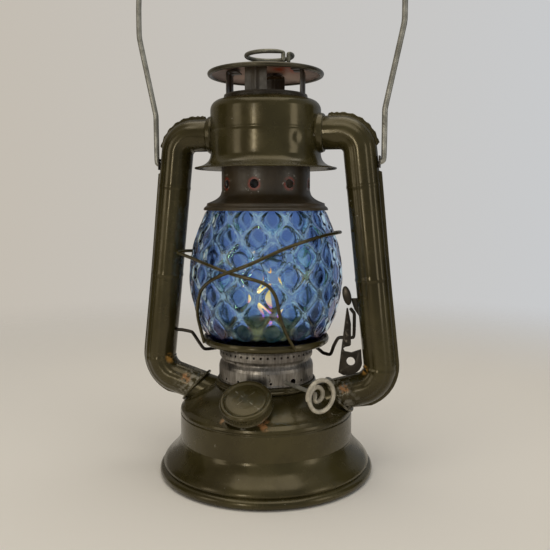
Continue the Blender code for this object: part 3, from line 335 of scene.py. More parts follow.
class Finish:
    """One material and the few node set-ups that the finishes here are made of."""

    def __init__(self, name):
        self.material = bpy.data.materials.new(name)
        self.material.use_nodes = True
        self.tree = self.material.node_tree
        self.shader = self.tree.nodes["Principled BSDF"]
        self.place = self.add("ShaderNodeTexCoord").outputs["Object"]

    def add(self, kind, **settings):
        node = self.tree.nodes.new(kind)
        for key, value in settings.items():
            setattr(node, key, value)
        return node

    def put(self, socket, value):
        """Links a socket or sets a constant."""
        if isinstance(value, bpy.types.NodeSocket):
            self.tree.links.new(value, socket)
        elif isinstance(value, tuple) and len(socket.default_value) > len(value):
            socket.default_value = (*value, 1.0)
        else:
            socket.default_value = value

    def set(self, **values):
        for key, value in values.items():
            self.put(self.shader.inputs[key.replace("_", " ")], value)

    def at(self, stretch):
        mapping = self.add("ShaderNodeMapping")
        self.put(mapping.inputs["Vector"], self.place)
        mapping.inputs["Scale"].default_value = stretch
        return mapping.outputs["Vector"]

    def noise(self, scale, detail=3.0, roughness=0.55, stretch=None):
        """Noise from 0 to 1, with scale in features per metre."""
        node = self.add("ShaderNodeTexNoise")
        self.put(node.inputs["Vector"], self.at(stretch) if stretch else self.place)
        node.inputs["Scale"].default_value = scale
        node.inputs["Detail"].default_value = detail
        node.inputs["Roughness"].default_value = roughness
        return node.outputs["Fac"]

    def cells(self, scale):
        """Distance to the nearest of scattered points, and a random value for each."""
        node = self.add("ShaderNodeTexVoronoi")
        self.put(node.inputs["Vector"], self.place)
        node.inputs["Scale"].default_value = scale
        split = self.add("ShaderNodeSeparateColor")
        self.put(split.inputs["Color"], node.outputs["Color"])
        return node.outputs["Distance"], split.outputs["Red"]

    def range(self, value, low, high, first=0.0, last=1.0):
        node = self.add("ShaderNodeMapRange", interpolation_type="SMOOTHSTEP")
        self.put(node.inputs["Value"], value)
        for key, number in (("From Min", low), ("From Max", high), ("To Min", first),
                            ("To Max", last)):
            node.inputs[key].default_value = number
        return node.outputs["Result"]

    def math(self, operation, a, b=0.0):
        node = self.add("ShaderNodeMath", operation=operation)
        self.put(node.inputs[0], a)
        self.put(node.inputs[1], b)
        return node.outputs[0]

    def mix(self, share, a, b):
        """Colour a at 0 and b at 1."""
        node = self.add("ShaderNodeMix", data_type="RGBA")
        self.put(node.inputs[0], share)
        self.put(node.inputs[6], a)
        self.put(node.inputs[7], b)
        return node.outputs[2]

    def blend(self, share, a, b):
        """Number a at 0 and b at 1."""
        node = self.add("ShaderNodeMix", data_type="FLOAT")
        self.put(node.inputs[0], share)
        self.put(node.inputs[2], a)
        self.put(node.inputs[3], b)
        return node.outputs[0]

    def height(self, axis="Z"):
        split = self.add("ShaderNodeSeparateXYZ")
        self.put(split.inputs[0], self.place)
        return split.outputs[axis]

    def near(self, point, radius):
        """1 close to a point, falling to 0 at the radius."""
        node = self.add("ShaderNodeVectorMath", operation="DISTANCE")
        self.put(node.inputs[0], self.place)
        node.inputs[1].default_value = point
        return self.range(node.outputs["Value"], 0.3 * radius, radius, 1.0, 0.0)

    def attribute(self, name):
        return self.add("ShaderNodeAttribute", attribute_name=name).outputs["Fac"]

    def edges(self, low, high):
        """1 on outer edges."""
        return self.range(self.add("ShaderNodeNewGeometry").outputs["Pointiness"], low, high)

    def bump(self, *layers):
        """Surface relief from (height, depth in metres) layers."""
        normal = None
        for value, depth in layers:
            node = self.add("ShaderNodeBump")
            node.inputs["Distance"].default_value = depth
            self.put(node.inputs["Height"], value)
            if normal:
                self.put(node.inputs["Normal"], normal)
            normal = node.outputs["Normal"]
        self.put(self.shader.inputs["Normal"], normal)


def enamel(name, dark, light, rough=0.2, chips=0.5, patches=()):
    """Glossy baked enamel with fine dust, chips down to grey primer and rubbed edges. patches are (point,
    radius, colour)
    spots of another colour: solder stains, and on the tubes' lower bends a painted glint."""
    f = Finish(name)
    colour = f.mix(f.range(f.noise(28, 3), 0.35, 0.68), dark, light)
    grime = f.range(f.noise(150, 6, 0.7), 0.52, 0.75)
    colour = f.mix(f.math("MULTIPLY", grime, 0.35), colour, tuple(0.55 * c for c in dark))
    distance, pick = f.cells(150)
    speck = f.math("MULTIPLY", f.range(distance, 0.035, 0.055, 1.0, 0.0), f.range(pick, 0.86, 0.88))
    flake = f.range(f.noise(240, 5, 0.65), 0.735 - 0.03 * chips, 0.75 - 0.03 * chips)
    worn = f.math("MULTIPLY", f.edges(0.53, 0.60), f.range(f.noise(330, 4, 0.7), 0.46, 0.60))
    bare = f.math("MAXIMUM", f.math("MAXIMUM", speck, flake), worn)
    colour = f.mix(f.math("MULTIPLY", bare, 0.85), colour, (0.33, 0.31, 0.26))
    metal = f.math("MULTIPLY", worn, 0.5)
    # The patches are solder stains, and on the tubes' lower bends a painted gold glint.
    for point, radius, stain in patches:
        solder_and_glint_spot = f.math("MULTIPLY", f.near(point, radius), f.range(f.noise(420, 4), 0.42, 0.55))
        colour = f.mix(solder_and_glint_spot, colour, stain)
    haze = f.noise(70, 5, 0.65)
    gloss = f.range(haze, 0.3, 0.8, rough, rough + 0.22)
    f.set(Base_Color=colour, Metallic=metal, Roughness=f.blend(bare, gloss, 0.55),
          Specular_Tint=(1.0, 0.86, 0.56), Coat_Weight=0.12, Coat_Roughness=0.12)
    f.bump((f.noise(520, 2), 0.02 * MM), (f.noise(55, 2), 0.16 * MM),
           (f.math("SUBTRACT", 1.0, bare), 0.03 * MM))
    return f.material


def chimney_enamel():
    """The chimney's enamel: dulled, streaked with soot and flaked round the holes, with a painted red glow
    of the flame at the holes' rims.
    """
    f = Finish("smoked_enamel")
    colour = f.mix(f.range(f.noise(40, 4), 0.3, 0.7), (0.026, 0.018, 0.008), (0.054, 0.038, 0.019))
    streak = f.range(f.noise(60, 4, 0.6, (9, 9, 1)), 0.45, 0.7)
    colour = f.mix(f.math("MULTIPLY", streak, 0.25), colour, (0.06, 0.05, 0.042))
    near = f.attribute("near_hole")
    grain = f.noise(380, 5, 0.7)
    # Painted flame glow: red at the rims of the draught holes.
    painted_glow_rim = f.math("MULTIPLY", f.range(near, 0.62, 0.95), f.range(grain, 0.40, 0.58))
    colour = f.mix(painted_glow_rim, colour, (0.22, 0.028, 0.010))
    flake = f.math("MULTIPLY", f.range(near, 0.30, 0.6), f.range(f.noise(430, 4, 0.7), 0.60, 0.64))
    colour = f.mix(flake, colour, (0.55, 0.52, 0.47))
    f.set(Base_Color=colour, Roughness=f.range(grain, 0.2, 0.8, 0.26, 0.5))
    f.bump((f.noise(480, 3), 0.03 * MM), (flake, 0.05 * MM))
    return f.material


def painted_glow_bore():
    """The chimney's bore: bare steel painted red and orange, a painted glow of the flame's light on it."""
    f = Finish("painted_flame_glow_bore")
    colour = f.mix(f.range(f.noise(260, 5, 0.7), 0.35, 0.65), (0.42, 0.045, 0.012), (0.62, 0.17, 0.05))
    f.set(Base_Color=colour, Roughness=0.7)
    f.bump((f.noise(500, 3), 0.05 * MM))
    return f.material


def cap_underside():
    """Bare metal under the cap: heat-tinted pinkish grey with soot, and a painted red-orange reflection of
    the flame.
    """
    f = Finish("heat_tint_and_flame_reflection")
    colour = f.mix(f.range(f.noise(60, 4), 0.35, 0.65), (0.27, 0.185, 0.155), (0.42, 0.30, 0.25))
    soot = f.range(f.noise(90, 5, 0.65), 0.55, 0.75)
    colour = f.mix(f.math("MULTIPLY", soot, 0.7), colour, (0.10, 0.06, 0.045))
    # Painted reflection: a red-orange spot of the flame's light, off the cap's centre.
    painted_flame_reflection = f.near((9 * MM, 8 * MM, top("cap") - 3 * MM), 11 * MM)
    painted_flame_reflection = f.math("MULTIPLY", painted_flame_reflection, f.range(f.noise(170, 4), 0.3, 0.6))
    colour = f.mix(painted_flame_reflection, colour, (0.40, 0.055, 0.012))
    f.set(Base_Color=colour, Roughness=0.5, Metallic=0.3)
    f.bump((f.noise(400, 3), 0.03 * MM))
    return f.material


def worn_steel(name, dark=(0.17, 0.155, 0.135), light=(0.36, 0.34, 0.31), rough=0.34):
    """Plain sheet steel with drawing lines down it, brown stains and dark pits."""
    f = Finish(name)
    lines = f.noise(110, 4, 0.6, (8, 8, 1))
    stain = f.range(f.noise(45, 4, 0.6), 0.40, 0.66)
    colour = f.mix(f.range(lines, 0.3, 0.7), dark, light)
    colour = f.mix(f.math("MULTIPLY", stain, 0.45), colour, (0.13, 0.10, 0.075))
    pits = f.range(f.noise(320, 3, 0.6), 0.66, 0.72)
    colour = f.mix(f.math("MULTIPLY", pits, 0.8), colour, (0.04, 0.03, 0.02))
    gloss = f.range(stain, 0.0, 1.0, rough, rough + 0.2)
    f.set(Base_Color=colour, Metallic=f.blend(stain, 1.0, 0.75), Roughness=gloss)
    f.bump((lines, 0.02 * MM), (pits, 0.03 * MM), (f.noise(70, 2), 0.15 * MM))
    return f.material


def galvanised(name, dark, light, rough=0.42, metallic=0.65):
    """Dull zinc on wire: mottled, with a few dark nicks and drawing marks."""
    f = Finish(name)
    mottle = f.range(f.noise(170, 5, 0.65), 0.3, 0.7)
    colour = f.mix(mottle, dark, light)
    nick = f.range(f.noise(210, 3, 0.6), 0.70, 0.76)
    colour = f.mix(f.math("MULTIPLY", nick, 0.85), colour, (0.09, 0.075, 0.055))
    f.set(Base_Color=colour, Metallic=metallic, Roughness=f.range(mottle, 0, 1, rough + 0.12, rough))
    f.bump((f.noise(700, 3), 0.02 * MM), (nick, 0.03 * MM))
    return f.material


def dark_steel():
    f = Finish("dark_steel")
    colour = f.mix(f.range(f.noise(90, 4), 0.35, 0.7), (0.018, 0.014, 0.009), (0.050, 0.040, 0.028))
    worn = f.math("MULTIPLY", f.edges(0.56, 0.66), f.range(f.noise(400, 4), 0.5, 0.62))
    colour = f.mix(worn, colour, (0.22, 0.19, 0.15))
    f.set(Base_Color=colour, Metallic=0.6, Roughness=f.range(f.noise(200, 4), 0.3, 0.7, 0.28, 0.5))
    f.bump((f.noise(500, 3), 0.03 * MM))
    return f.material


def brass():
    f = Finish("stained_brass")
    stain = f.range(f.noise(80, 5, 0.6), 0.38, 0.66)
    colour = f.mix(stain, (0.56, 0.39, 0.13), (0.14, 0.085, 0.04))
    f.set(Base_Color=colour, Metallic=1.0, Roughness=f.range(stain, 0, 1, 0.28, 0.5))
    f.bump((f.noise(420, 3), 0.02 * MM))
    return f.material


def rubber():
    f = Finish("seal_rubber")
    colour = f.mix(f.noise(300, 3), (0.012, 0.012, 0.012), (0.035, 0.033, 0.03))
    f.set(Base_Color=colour, Roughness=0.75)
    f.bump((f.noise(900, 2), 0.03 * MM))
    return f.material


def wick_cotton():
    """Woven cotton: cords along the wick and fine picks across it, charred at the flame end."""
    f = Finish("wick_cotton")
    weave = f.add("ShaderNodeTexWave", wave_type="BANDS", bands_direction="Z")
    f.put(weave.inputs["Vector"], f.place)
    weave.inputs["Scale"].default_value = 260
    weave.inputs["Distortion"].default_value = 1.5
    colour = f.mix(weave.outputs["Fac"], (0.42, 0.36, 0.26), (0.68, 0.61, 0.48))
    char = f.range(f.height(), top("wick") - 4 * MM, top("wick") - 1 * MM)
    char = f.math("MULTIPLY", char, f.range(f.noise(500, 4), 0.2, 0.5))
    colour = f.mix(char, colour, (0.01, 0.008, 0.006))
    f.set(Base_Color=colour, Roughness=0.95, Sheen_Weight=0.3)
    f.bump((weave.outputs["Fac"], 0.06 * MM), (f.noise(1500, 2), 0.04 * MM))
    return f.material


def blue_glass():
    """Blue moulded glass, paler and greener along the raised lattice, with a thin lustre film and a
    painted shade, near black, on its foot.
    """
    f = Finish("blue_glass")
    ridge = f.attribute("ridge")
    cloud = f.range(f.noise(30, 2), 0.3, 0.7)
    field = f.mix(cloud, (0.29, 0.42, 0.72), (0.35, 0.49, 0.78))
    colour = f.mix(f.range(ridge, 0.22, 0.80), field, (0.72, 0.90, 0.96))
    # Painted shade: the glass's foot, low down by the globe plate, is tinted near black.
    colour = f.mix(f.attribute("foot"), colour, (0.02, 0.03, 0.10))
    f.set(Base_Color=colour, Roughness=f.blend(f.attribute("inner"), 0.02, 0.10),
          Transmission_Weight=1.0, IOR=1.5, Thin_Film_Thickness=380.0, Thin_Film_IOR=1.38)
    f.bump((f.noise(120, 2), 0.08 * MM))
    return f.material


def flame_light():
    """Orange at the tip, pale yellow in the middle and blue-violet low down by the burner."""
    f = Finish("flame_light")
    low, high = flame_span()
    share = f.range(f.height(), low, high)
    ramp = f.add("ShaderNodeValToRGB")
    f.put(ramp.inputs["Fac"], share)
    stops = ((0.0, (0.10, 0.10, 0.60)), (0.16, (0.9, 0.30, 0.22)), (0.40, (1.0, 0.62, 0.24)),
             (0.75, (1.0, 0.58, 0.10)), (1.0, (1.0, 0.36, 0.03)))
    elements = ramp.color_ramp.elements
    while len(elements) < len(stops):
        elements.new(0.5)
    for element, (at, colour) in zip(elements, stops):
        element.position = at
        element.color = (*colour, 1.0)
    f.set(Base_Color=(0.0, 0.0, 0.0), Emission_Color=ramp.outputs["Color"], Roughness=1.0,
          Emission_Strength=f.range(f.noise(60, 2), 0.2, 0.8, 1.5, 2.2))
    return f.material


# ---------------------------------------------------------------- finishes in use

BASE_R = width_of("tank_shell")
TANK_TOP_Z = top("tank_shell")
COLLAR_R = width_of("burner_collar")
COLLAR_TOP_Z = top("burner_collar")
BURNER_R = width_of("burner_body")
SKIRT_Z = bottom("burner_body")
DECK_Z = top("burner_body")
DOME_R = width_of("burner_dome") - 2.6 * MM
DOME_TOP_Z = top("burner_dome")
PLATE_R = width_of("globe_plate")
PLATE_Z = bottom("globe") - SHEET - GAP
GLOBE_Z = bottom("globe")
GLOBE_H = top("globe") - GLOBE_Z
CHIMNEY_Z = bottom("chimney")
CHIMNEY_TOP_Z = top("chimney")
FLARE_R = width_of("chimney")
HOOD_Z = bottom("hood")
HOOD_TOP_Z = top("hood")
HOOD_BRIM_R = width_of("hood")
PORT_Z = middle("hood_ferrule_left").z
CAP_R = width_of("cap")
TANK_R = 49.8 * MM
SHOULDER_Z = 35.6 * MM
SHOULDER_R = 47.1 * MM
DOME_BASE_Z = 39.5 * MM
FLARE_TOP_Z = 20.0 * MM
COLLAR_BORE_R = 23.0 * MM
FILLER_TILT = math.radians(31.0)
FILLER_CENTRE = Vector((0, -44.0 * MM, 52.9 * MM))
FILLER_WAY = Vector((0, -math.sin(FILLER_TILT), math.cos(FILLER_TILT)))
NECK_R = 10.3 * MM
FILLER_CAP_R = 14.0 * MM
KNURL_RIBS = 62
KNURL_DEPTH = 0.34 * MM
CHIMNEY_R = 25.0 * MM
CHIMNEY_MOUTH_R = 23.2 * MM
CHIMNEY_STEP_Z = CHIMNEY_Z + 31.5 * MM
DRAUGHT_Z = CHIMNEY_Z + 14.5 * MM
DRAUGHT_R = 2.5 * MM
DRAUGHT_HOLES = 8
HOOD_R = 31.0 * MM
HOOD_MOUTH_R = 24.1 * MM
HOOD_BRIM_H = 6.2 * MM
HOOD_CREASE_H = 21.1 * MM
FLAME_R = 3.6 * MM
CAP_Z = bottom("cap") + 1.0 * MM
CAP_RISE = 4.6 * MM
LEG_WIDTH = 12.0 * MM
TUBE_R = 9.2 * MM
TUBE_WALL = 0.8 * MM
SEAM_H = 1.8 * MM
SEAM_T = 1.2 * MM
TUBE_TOP_CORNER = (52.1 * MM, PORT_Z)
TUBE_LOW_CORNER = (67.1 * MM, 53.76 * MM)
TUBE_TOP_BEND = 20.7 * MM
TUBE_LOW_BEND = 17.2 * MM
TUBE_STEP = 0.75 * MM
TUBE_END_GAP = 0.1 * MM
SOCKET_INSET = 3.6 * MM
ENTRY_SLOPE = math.radians(17.0)
CUT_SLOPE = math.radians(48.5)
BAIL_Z = middle("bail_ear_left").z
KNOB_AZIMUTH = math.radians(-42.5)
WICK_TOP_Z = top("wick")
FILLER_PLACE = Matrix.Translation(FILLER_CENTRE) @ Matrix.Rotation(FILLER_TILT, 4, "X")


def port_place(side):
    """The place of a piece turned about the hood's port on that side."""
    facing = Vector((side, 0, 0)).to_track_quat("Z", "Y").to_matrix().to_4x4()
    return Matrix.Translation((0, 0, PORT_Z)) @ facing


def flame_span():
    return WICK_TOP_Z + 3 * MM, WICK_TOP_Z + 31 * MM


OLIVE_DARK = (0.021, 0.0165, 0.0045)
OLIVE_LIGHT = (0.046, 0.038, 0.0135)
COPPER = (0.35, 0.17, 0.07)

tank_paint = enamel("tank_enamel", OLIVE_DARK, OLIVE_LIGHT, 0.17, 0.6,
                    (((11 * MM, -46 * MM, 41 * MM), 5 * MM, COPPER),
                     ((-12 * MM, -45 * MM, 41 * MM), 3 * MM, COPPER)))
hood_paint = enamel("hood_enamel", OLIVE_DARK, OLIVE_LIGHT, 0.16, 0.7)
# The gold spots at the tubes' lower bends are a painted glint; the copper spots by the sockets are solder
# stains.
tube_paint = enamel("tube_enamel", OLIVE_DARK, OLIVE_LIGHT, 0.15, 0.5,
                    (((57 * MM, -6 * MM, 63 * MM), 4 * MM, (0.50, 0.26, 0.06)),
                     ((-57 * MM, -6 * MM, 63 * MM), 4 * MM, (0.50, 0.26, 0.06)),
                     ((47 * MM, -8 * MM, 52 * MM), 4 * MM, COPPER),
                     ((-47 * MM, -8 * MM, 52 * MM), 4 * MM, COPPER)))
cap_paint = enamel("cap_enamel", (0.022, 0.019, 0.012), (0.050, 0.044, 0.030), 0.2, 0.8)
soot_and_glow_enamel = chimney_enamel()
# The chimney bore's paint: a painted red glow of the flame's light.
scale = painted_glow_bore()
# The cap's underside: heat tint and soot, with a painted reflection of the flame.
tinted = cap_underside()
burner_steel = worn_steel("burner_steel")
inner_steel = worn_steel("inner_steel", (0.12, 0.10, 0.08), (0.30, 0.27, 0.24), 0.4)
oxide = dark_steel()
zinc = galvanised("galvanised_wire", (0.22, 0.215, 0.185), (0.42, 0.41, 0.36))
ring_zinc = galvanised("lift_ring_wire", (0.10, 0.10, 0.075), (0.24, 0.23, 0.18), 0.35)
cream = galvanised("knob_wire", (0.30, 0.27, 0.21), (0.60, 0.55, 0.45), 0.35, 0.3)
stained_brass = brass()
black_rubber = rubber()
cotton = wick_cotton()
glass = blue_glass()
fire = flame_light()


# ---------------------------------------------------------------- tank and filler


def tank_outline():
    """The tank's outer side, from the flat under its base bead to the bore under the burner."""
    bead_r = 2.6 * MM
    bead = arc((BASE_R - bead_r, bead_r), bead_r, -72, 70, 14)
    groove_z = 2 * bead_r + 0.25 * MM
    flare = [*offsets(BASE_R, groove_z, (-2.7, 0), (-2.15, 1.2), (-2.5, 2.5)),
             (BASE_R - 4.0 * MM, 10.0 * MM),
             (BASE_R - 6.4 * MM, 12.4 * MM), (BASE_R - 9.2 * MM, 15.5 * MM),
             (BASE_R - 11.0 * MM, 18.2 * MM), (BASE_R - 11.7 * MM, FLARE_TOP_Z - 0.4 * MM)]
    wall = soften([(TANK_R + 0.35 * MM, FLARE_TOP_Z - 0.2 * MM), (TANK_R, FLARE_TOP_Z + 0.5 * MM),
                   *offsets(TANK_R, SHOULDER_Z, (0, -1.0), (-0.5, -0.4), (-0.35, 0.1), (0.1, 0.7),
                            (-0.3, 2.2)),
                   (SHOULDER_R + 0.2 * MM, DOME_BASE_Z),
                   (SHOULDER_R - 1.2 * MM, DOME_BASE_Z + 0.65 * MM)], 0.5 * MM, 3)
    dome = []
    for i in range(1, 13):
        share = i / 12
        r = SHOULDER_R - 1.2 * MM + (COLLAR_R - SHOULDER_R + 1.2 * MM) * share
        line = DOME_BASE_Z + 0.65 * MM + (TANK_TOP_Z - DOME_BASE_Z - 0.65 * MM) * share
        dome.append((r, line + 0.9 * MM * math.sin(math.pi * share)))
    foot = [(BASE_R - bead_r - 1.6 * MM, 0), (BASE_R - bead_r + 0.2 * MM, 0)]
    return foot + bead[1:] + smooth(flare, 4) + wall + dome + [(COLLAR_BORE_R, TANK_TOP_Z)]


def filler_rod(name, radius, above, below):
    start = FILLER_CENTRE + FILLER_WAY * above
    return rod(name, start, FILLER_CENTRE - FILLER_WAY * below, radius, tank_paint, 48)


tank = turned("tank_skin", shell(tank_outline(), SHEET), tank_paint, 256)
carved(tank, filler_rod("cut_filler", NECK_R + 0.2 * MM, 10 * MM, 22 * MM))
ride_for(tank, "frame", "olive_enamel", "tank_shell")

collar_edge = soften([(COLLAR_BORE_R, bottom("burner_collar")), (COLLAR_R, bottom("burner_collar")),
                      *offsets(COLLAR_R, COLLAR_TOP_Z, (0.2, -2.2), (-0.4, -1.6), (-0.1, -0.9), (-0.6, 0)),
                      (COLLAR_BORE_R, COLLAR_TOP_Z)], 0.35 * MM, 3)
collar = turned("burner_collar_ring", collar_edge, tank_paint)
ride_for(collar, "frame", "olive_enamel", "burner_collar")

MOUTH = -2.1 * MM
neck_side = [(NECK_R + 0.9 * MM, -9.6 * MM), (NECK_R + 0.5 * MM, -8.9 * MM), (NECK_R, -8.3 * MM)]
for i in range(3, 0, -1):
    rise = MOUTH - 0.5 * MM - (i - 1) * 2.0 * MM
    neck_side += smooth(offsets(NECK_R, rise, (0, -1.5), (0.6, -0.75), (0, 0)), 3)
neck_side = [(NECK_R, -18 * MM)] + neck_side + [(NECK_R, MOUTH), (NECK_R - 1.3 * MM, MOUTH),
                                                (NECK_R - 1.3 * MM, -18 * MM)]
neck = turned("filler_neck_tube", neck_side, tank_paint, MEDIUM, place=FILLER_PLACE)
ride_for(neck, "frame", "olive_enamel", "filler_neck")

low = MOUTH + 0.2 * MM
seal_edge = soften(offsets(NECK_R, low, (-1.3, 0), (1.6, 0), (1.6, 0.9), (-1.3, 0.9)), 0.3 * MM, 3)
seal = turned("filler_seal_ring", seal_edge, black_rubber, MEDIUM, place=FILLER_PLACE)
ride_for(seal, "filler_seal", "seal_rubber", "filler_seal")


def knurl(radius, height, angle):
    """Round-topped grip ribs on the filler cap's skirt."""
    on_skirt = ease(-height, 1.5 * MM, 2.2 * MM) * ease(height, -5.5 * MM, -5.1 * MM)
    outside = ease(radius, FILLER_CAP_R - 0.5 * MM, FILLER_CAP_R - 0.35 * MM)
    cut = KNURL_DEPTH * abs(math.sin(angle * KNURL_RIBS / 2))
    return radius - (KNURL_DEPTH - cut) * on_skirt * outside, height


cap_side = [(FILLER_CAP_R - 0.25 * MM, -6.2 * MM), (FILLER_CAP_R + 0.1 * MM, -5.9 * MM),
            (FILLER_CAP_R, -5.4 * MM), (FILLER_CAP_R - 0.05 * MM, -5.0 * MM)]
cap_side += [(FILLER_CAP_R, -z * MM) for z in (4.4, 3.8, 3.2, 2.6, 2.2, 1.8, 1.5)]
cap_side += arc((FILLER_CAP_R - 1.4 * MM, -1.4 * MM), 1.4 * MM, 8, 84, 7)
cap_side += soften([(FILLER_CAP_R - 1.7 * MM, 0.0), (FILLER_CAP_R - 2.5 * MM, -0.1 * MM),
                    (FILLER_CAP_R - 3.1 * MM, -0.55 * MM), (FILLER_CAP_R - 3.7 * MM, -0.3 * MM),
                    (7 * MM, 0.1 * MM), (3 * MM, 0.3 * MM), (0, 0.3 * MM)], 0.3 * MM, 3)
filler_cap = turned("filler_cap_skin", shell(cap_side, SHEET), tank_paint, 6 * KNURL_RIBS, knurl,
                    FILLER_PLACE)
ride_for(filler_cap, "filler_cap", "olive_enamel", "filler_cap")


# ---------------------------------------------------------------- burner, wick and flame

BURNER_H = DECK_Z - SKIRT_Z
AIR_HOLES = 44
NOTCHES = 18
valley = SKIRT_Z + 0.55 * BURNER_H


def burner_side():
    """The burner's two tiers with the valley between them."""
    lower = [*offsets(BURNER_R, SKIRT_Z, (0.1, 0), (0.25, 0.5), (-0.1, 1.1), (0, 1.8)),
             (BURNER_R, SKIRT_Z + 0.36 * BURNER_H), (BURNER_R - 0.4 * MM, SKIRT_Z + 0.44 * BURNER_H),
             (BURNER_R - 1.2 * MM, valley - 1.0 * MM), (BURNER_R - 1.7 * MM, valley)]
    upper = [*offsets(BURNER_R, valley, (-1.3, 0.9), (-0.5, 2.0), (-0.4, 3.6), (-0.6, 6.2), (-1.3, 7.8)),
             (BURNER_R - 3.2 * MM, DECK_Z), (DOME_R + 1.0 * MM, DECK_Z)]
    return soften(lower + upper, 0.7 * MM, 3)


def many_rods(name, places, length, radius):
    """One cutter made of rods through (angle, height) places, pointing at the axis."""
    points, faces = [], []
    for angle, height, distance in places:
        out = Vector((math.cos(angle), math.sin(angle), 0))
        side = Vector((-out.y, out.x, 0))
        first = len(points)
        for along in (distance - length / 2, distance + length / 2):
            for k in range(20):
                a = TAU * k / 20
                points.append(out * along + side * radius * math.cos(a)
                              + Vector((0, 0, height + radius * math.sin(a))))
        for k in range(20):
            j = (k + 1) % 20
            faces.append((first + k, first + j, first + 20 + j, first + 20 + k))
        faces.append(range(first, first + 20))
        faces.append(range(first + 20, first + 40))
    return mesh_piece(name, points, faces, burner_steel)


burner = turned("burner_skin", shell(burner_side(), BURNER_SHEET), burner_steel)
air = [(TAU * i / AIR_HOLES, valley + 4.8 * MM, BURNER_R) for i in range(AIR_HOLES)]
notch = [(TAU * (i + 0.5) / NOTCHES, SKIRT_Z + 2.4 * MM, BURNER_R) for i in range(NOTCHES)]
knob_hole = [(KNOB_AZIMUTH, middle("wick_shaft").z, BURNER_R)]
carved(burner, many_rods("cut_air", air, 4 * MM, 0.65 * MM),
       many_rods("cut_notch", notch, 4 * MM, 0.7 * MM),
       many_rods("cut_shaft", knob_hole, 8 * MM, 1.7 * MM))
ride_for(burner, "frame", "worn_steel", "burner_body")

DOME_H = DOME_TOP_Z - PLATE_Z
dome_side = [*offsets(DOME_R, PLATE_Z, (2.6, 0), (2.6, 0.5), (0.6, 0.7), (0, 1.2)),
             (DOME_R, PLATE_Z + 0.34 * DOME_H)]
dome_side += smooth([(DOME_R - 0.3 * MM, PLATE_Z + 0.44 * DOME_H),
                     (0.90 * DOME_R, PLATE_Z + 0.64 * DOME_H), (0.66 * DOME_R, PLATE_Z + 0.87 * DOME_H),
                     (0.36 * DOME_R, PLATE_Z + 0.98 * DOME_H), (0, DOME_TOP_Z)], 5)
burner_cone = turned("burner_cone", shell(dome_side, BURNER_SHEET), stained_brass, 128)
SLOT_HALF_LENGTH, SLOT_HALF_WIDTH = 8.2 * MM, 2.6 * MM
corners = [(x * SLOT_HALF_LENGTH, y * SLOT_HALF_WIDTH) for x, y in ((-1, -1), (1, -1), (1, 1), (-1, 1))]
slot = lofted("cut_slot", [[Vector((x, y, z)) for x, y in corners]
                           for z in (PLATE_Z + 0.45 * DOME_H, DOME_TOP_Z + 5 * MM)], stained_brass)
slot.data.transform(Matrix.Rotation(KNOB_AZIMUTH, 4, "Z"))
carved(burner_cone, slot)
ride_for(burner_cone, "frame", "brass", "burner_dome")


def make_wick():
    """A flat woven wick with a cord's swell along each of its ribs and a trimmed, rounded end."""
    low, half_w, half_t = bottom("wick"), 6.0 * MM, 0.65 * MM
    steps, ribs, rings = 60, 9, []
    for i in range(steps + 1):
        z = low + (WICK_TOP_Z - low) * i / steps
        shrink = 1.0 - 0.3 * ease(z, WICK_TOP_Z - 1.0 * MM, WICK_TOP_Z)
        ring = []
        for side in (1, -1):
            for k in range(37):
                share = 1 - 2 * k / 36
                rib = 0.16 * MM * abs(math.sin(math.pi * ribs * (share + 1) / 2))
                edge = math.sqrt(max(0.0, 1 - share**6))
                y = side * edge * (half_t - 0.16 * MM + rib) * shrink
                ring.append(Vector((side * share * half_w, y + 1e-7 * side, z)))
        rings.append(ring)
    obj = lofted("wick_weave", rings, cotton)
    obj.data.transform(Matrix.Rotation(KNOB_AZIMUTH, 4, "Z"))
    return obj


ride_for(make_wick(), "wick", "wick_cotton", "wick")


def make_flame():
    """A small flattened teardrop that leans a little as it rises."""
    low, high = flame_span()
    shape = [(0.0, 0.0), (0.30, 0.02), (0.62, 0.09), (0.90, 0.20), (1.0, 0.32), (0.96, 0.45),
             (0.78, 0.60), (0.50, 0.76), (0.22, 0.90), (0.06, 0.98), (0.0, 1.0)]
    outline = [(max(r, 0) * FLAME_R, low + h * (high - low)) for r, h in smooth(shape, 5)]
    outline[0] = (0.0, outline[0][1])
    outline[-1] = (0.0, outline[-1][1])

    def flicker(radius, height, angle):
        flat = 1.0 - 0.35 * math.sin(angle) ** 2
        lean = 1 + 0.10 * math.sin(2 * angle + height * 260)
        return radius * flat * lean, height

    obj = turned("flame", outline[::-1], fire, 48, flicker)
    obj.data.transform(Matrix.Rotation(KNOB_AZIMUTH, 4, "Z"))
    return obj


ride_for(make_flame(), "wick", "wick_cotton")


# ---------------------------------------------------------------- globe and its plate

GLOBE_WALL = 2.2 * MM
FOOT_R, BELLY_R, MOUTH_R = 30.6 * MM, 43.8 * MM, 31.6 * MM
COLUMNS = 15
PERIOD = 20.5 * MM
FIRST_COLUMN = 0.56
ROW_Z = 116.5 * MM
RELIEF = 0.9 * MM
FOOT_SHADE_BAND = 5.6 * MM


def globe_curve():
    """The glass's outer side, in the hollows of its lattice."""
    belly, foot, mouth = BELLY_R - RELIEF, FOOT_R, MOUTH_R
    shape = [(foot, 0.0), (foot + 0.30 * (belly - foot), 0.055 * GLOBE_H),
             (foot + 0.70 * (belly - foot), 0.19 * GLOBE_H), (belly, 0.445 * GLOBE_H),
             (mouth + 0.80 * (belly - mouth), 0.70 * GLOBE_H),
             (mouth + 0.30 * (belly - mouth), 0.90 * GLOBE_H), (mouth, GLOBE_H)]
    return [Vector((r, GLOBE_Z + h)) for r, h in smooth(shape, 18)]


def lattice(angle, along):
    """1 on the raised ribs of the glass, 0 in the hollows between them. along is the distance up the
    wall from a row of hollows. The ribs swell where they cross, so the hollows are rounded drops."""
    u = COLUMNS * angle / TAU - FIRST_COLUMN
    v = along / PERIOD
    h = abs(math.cos(math.pi * (u + v)) * math.cos(math.pi * (u - v)))
    return 1 - ease(h, 0.05, 0.52)


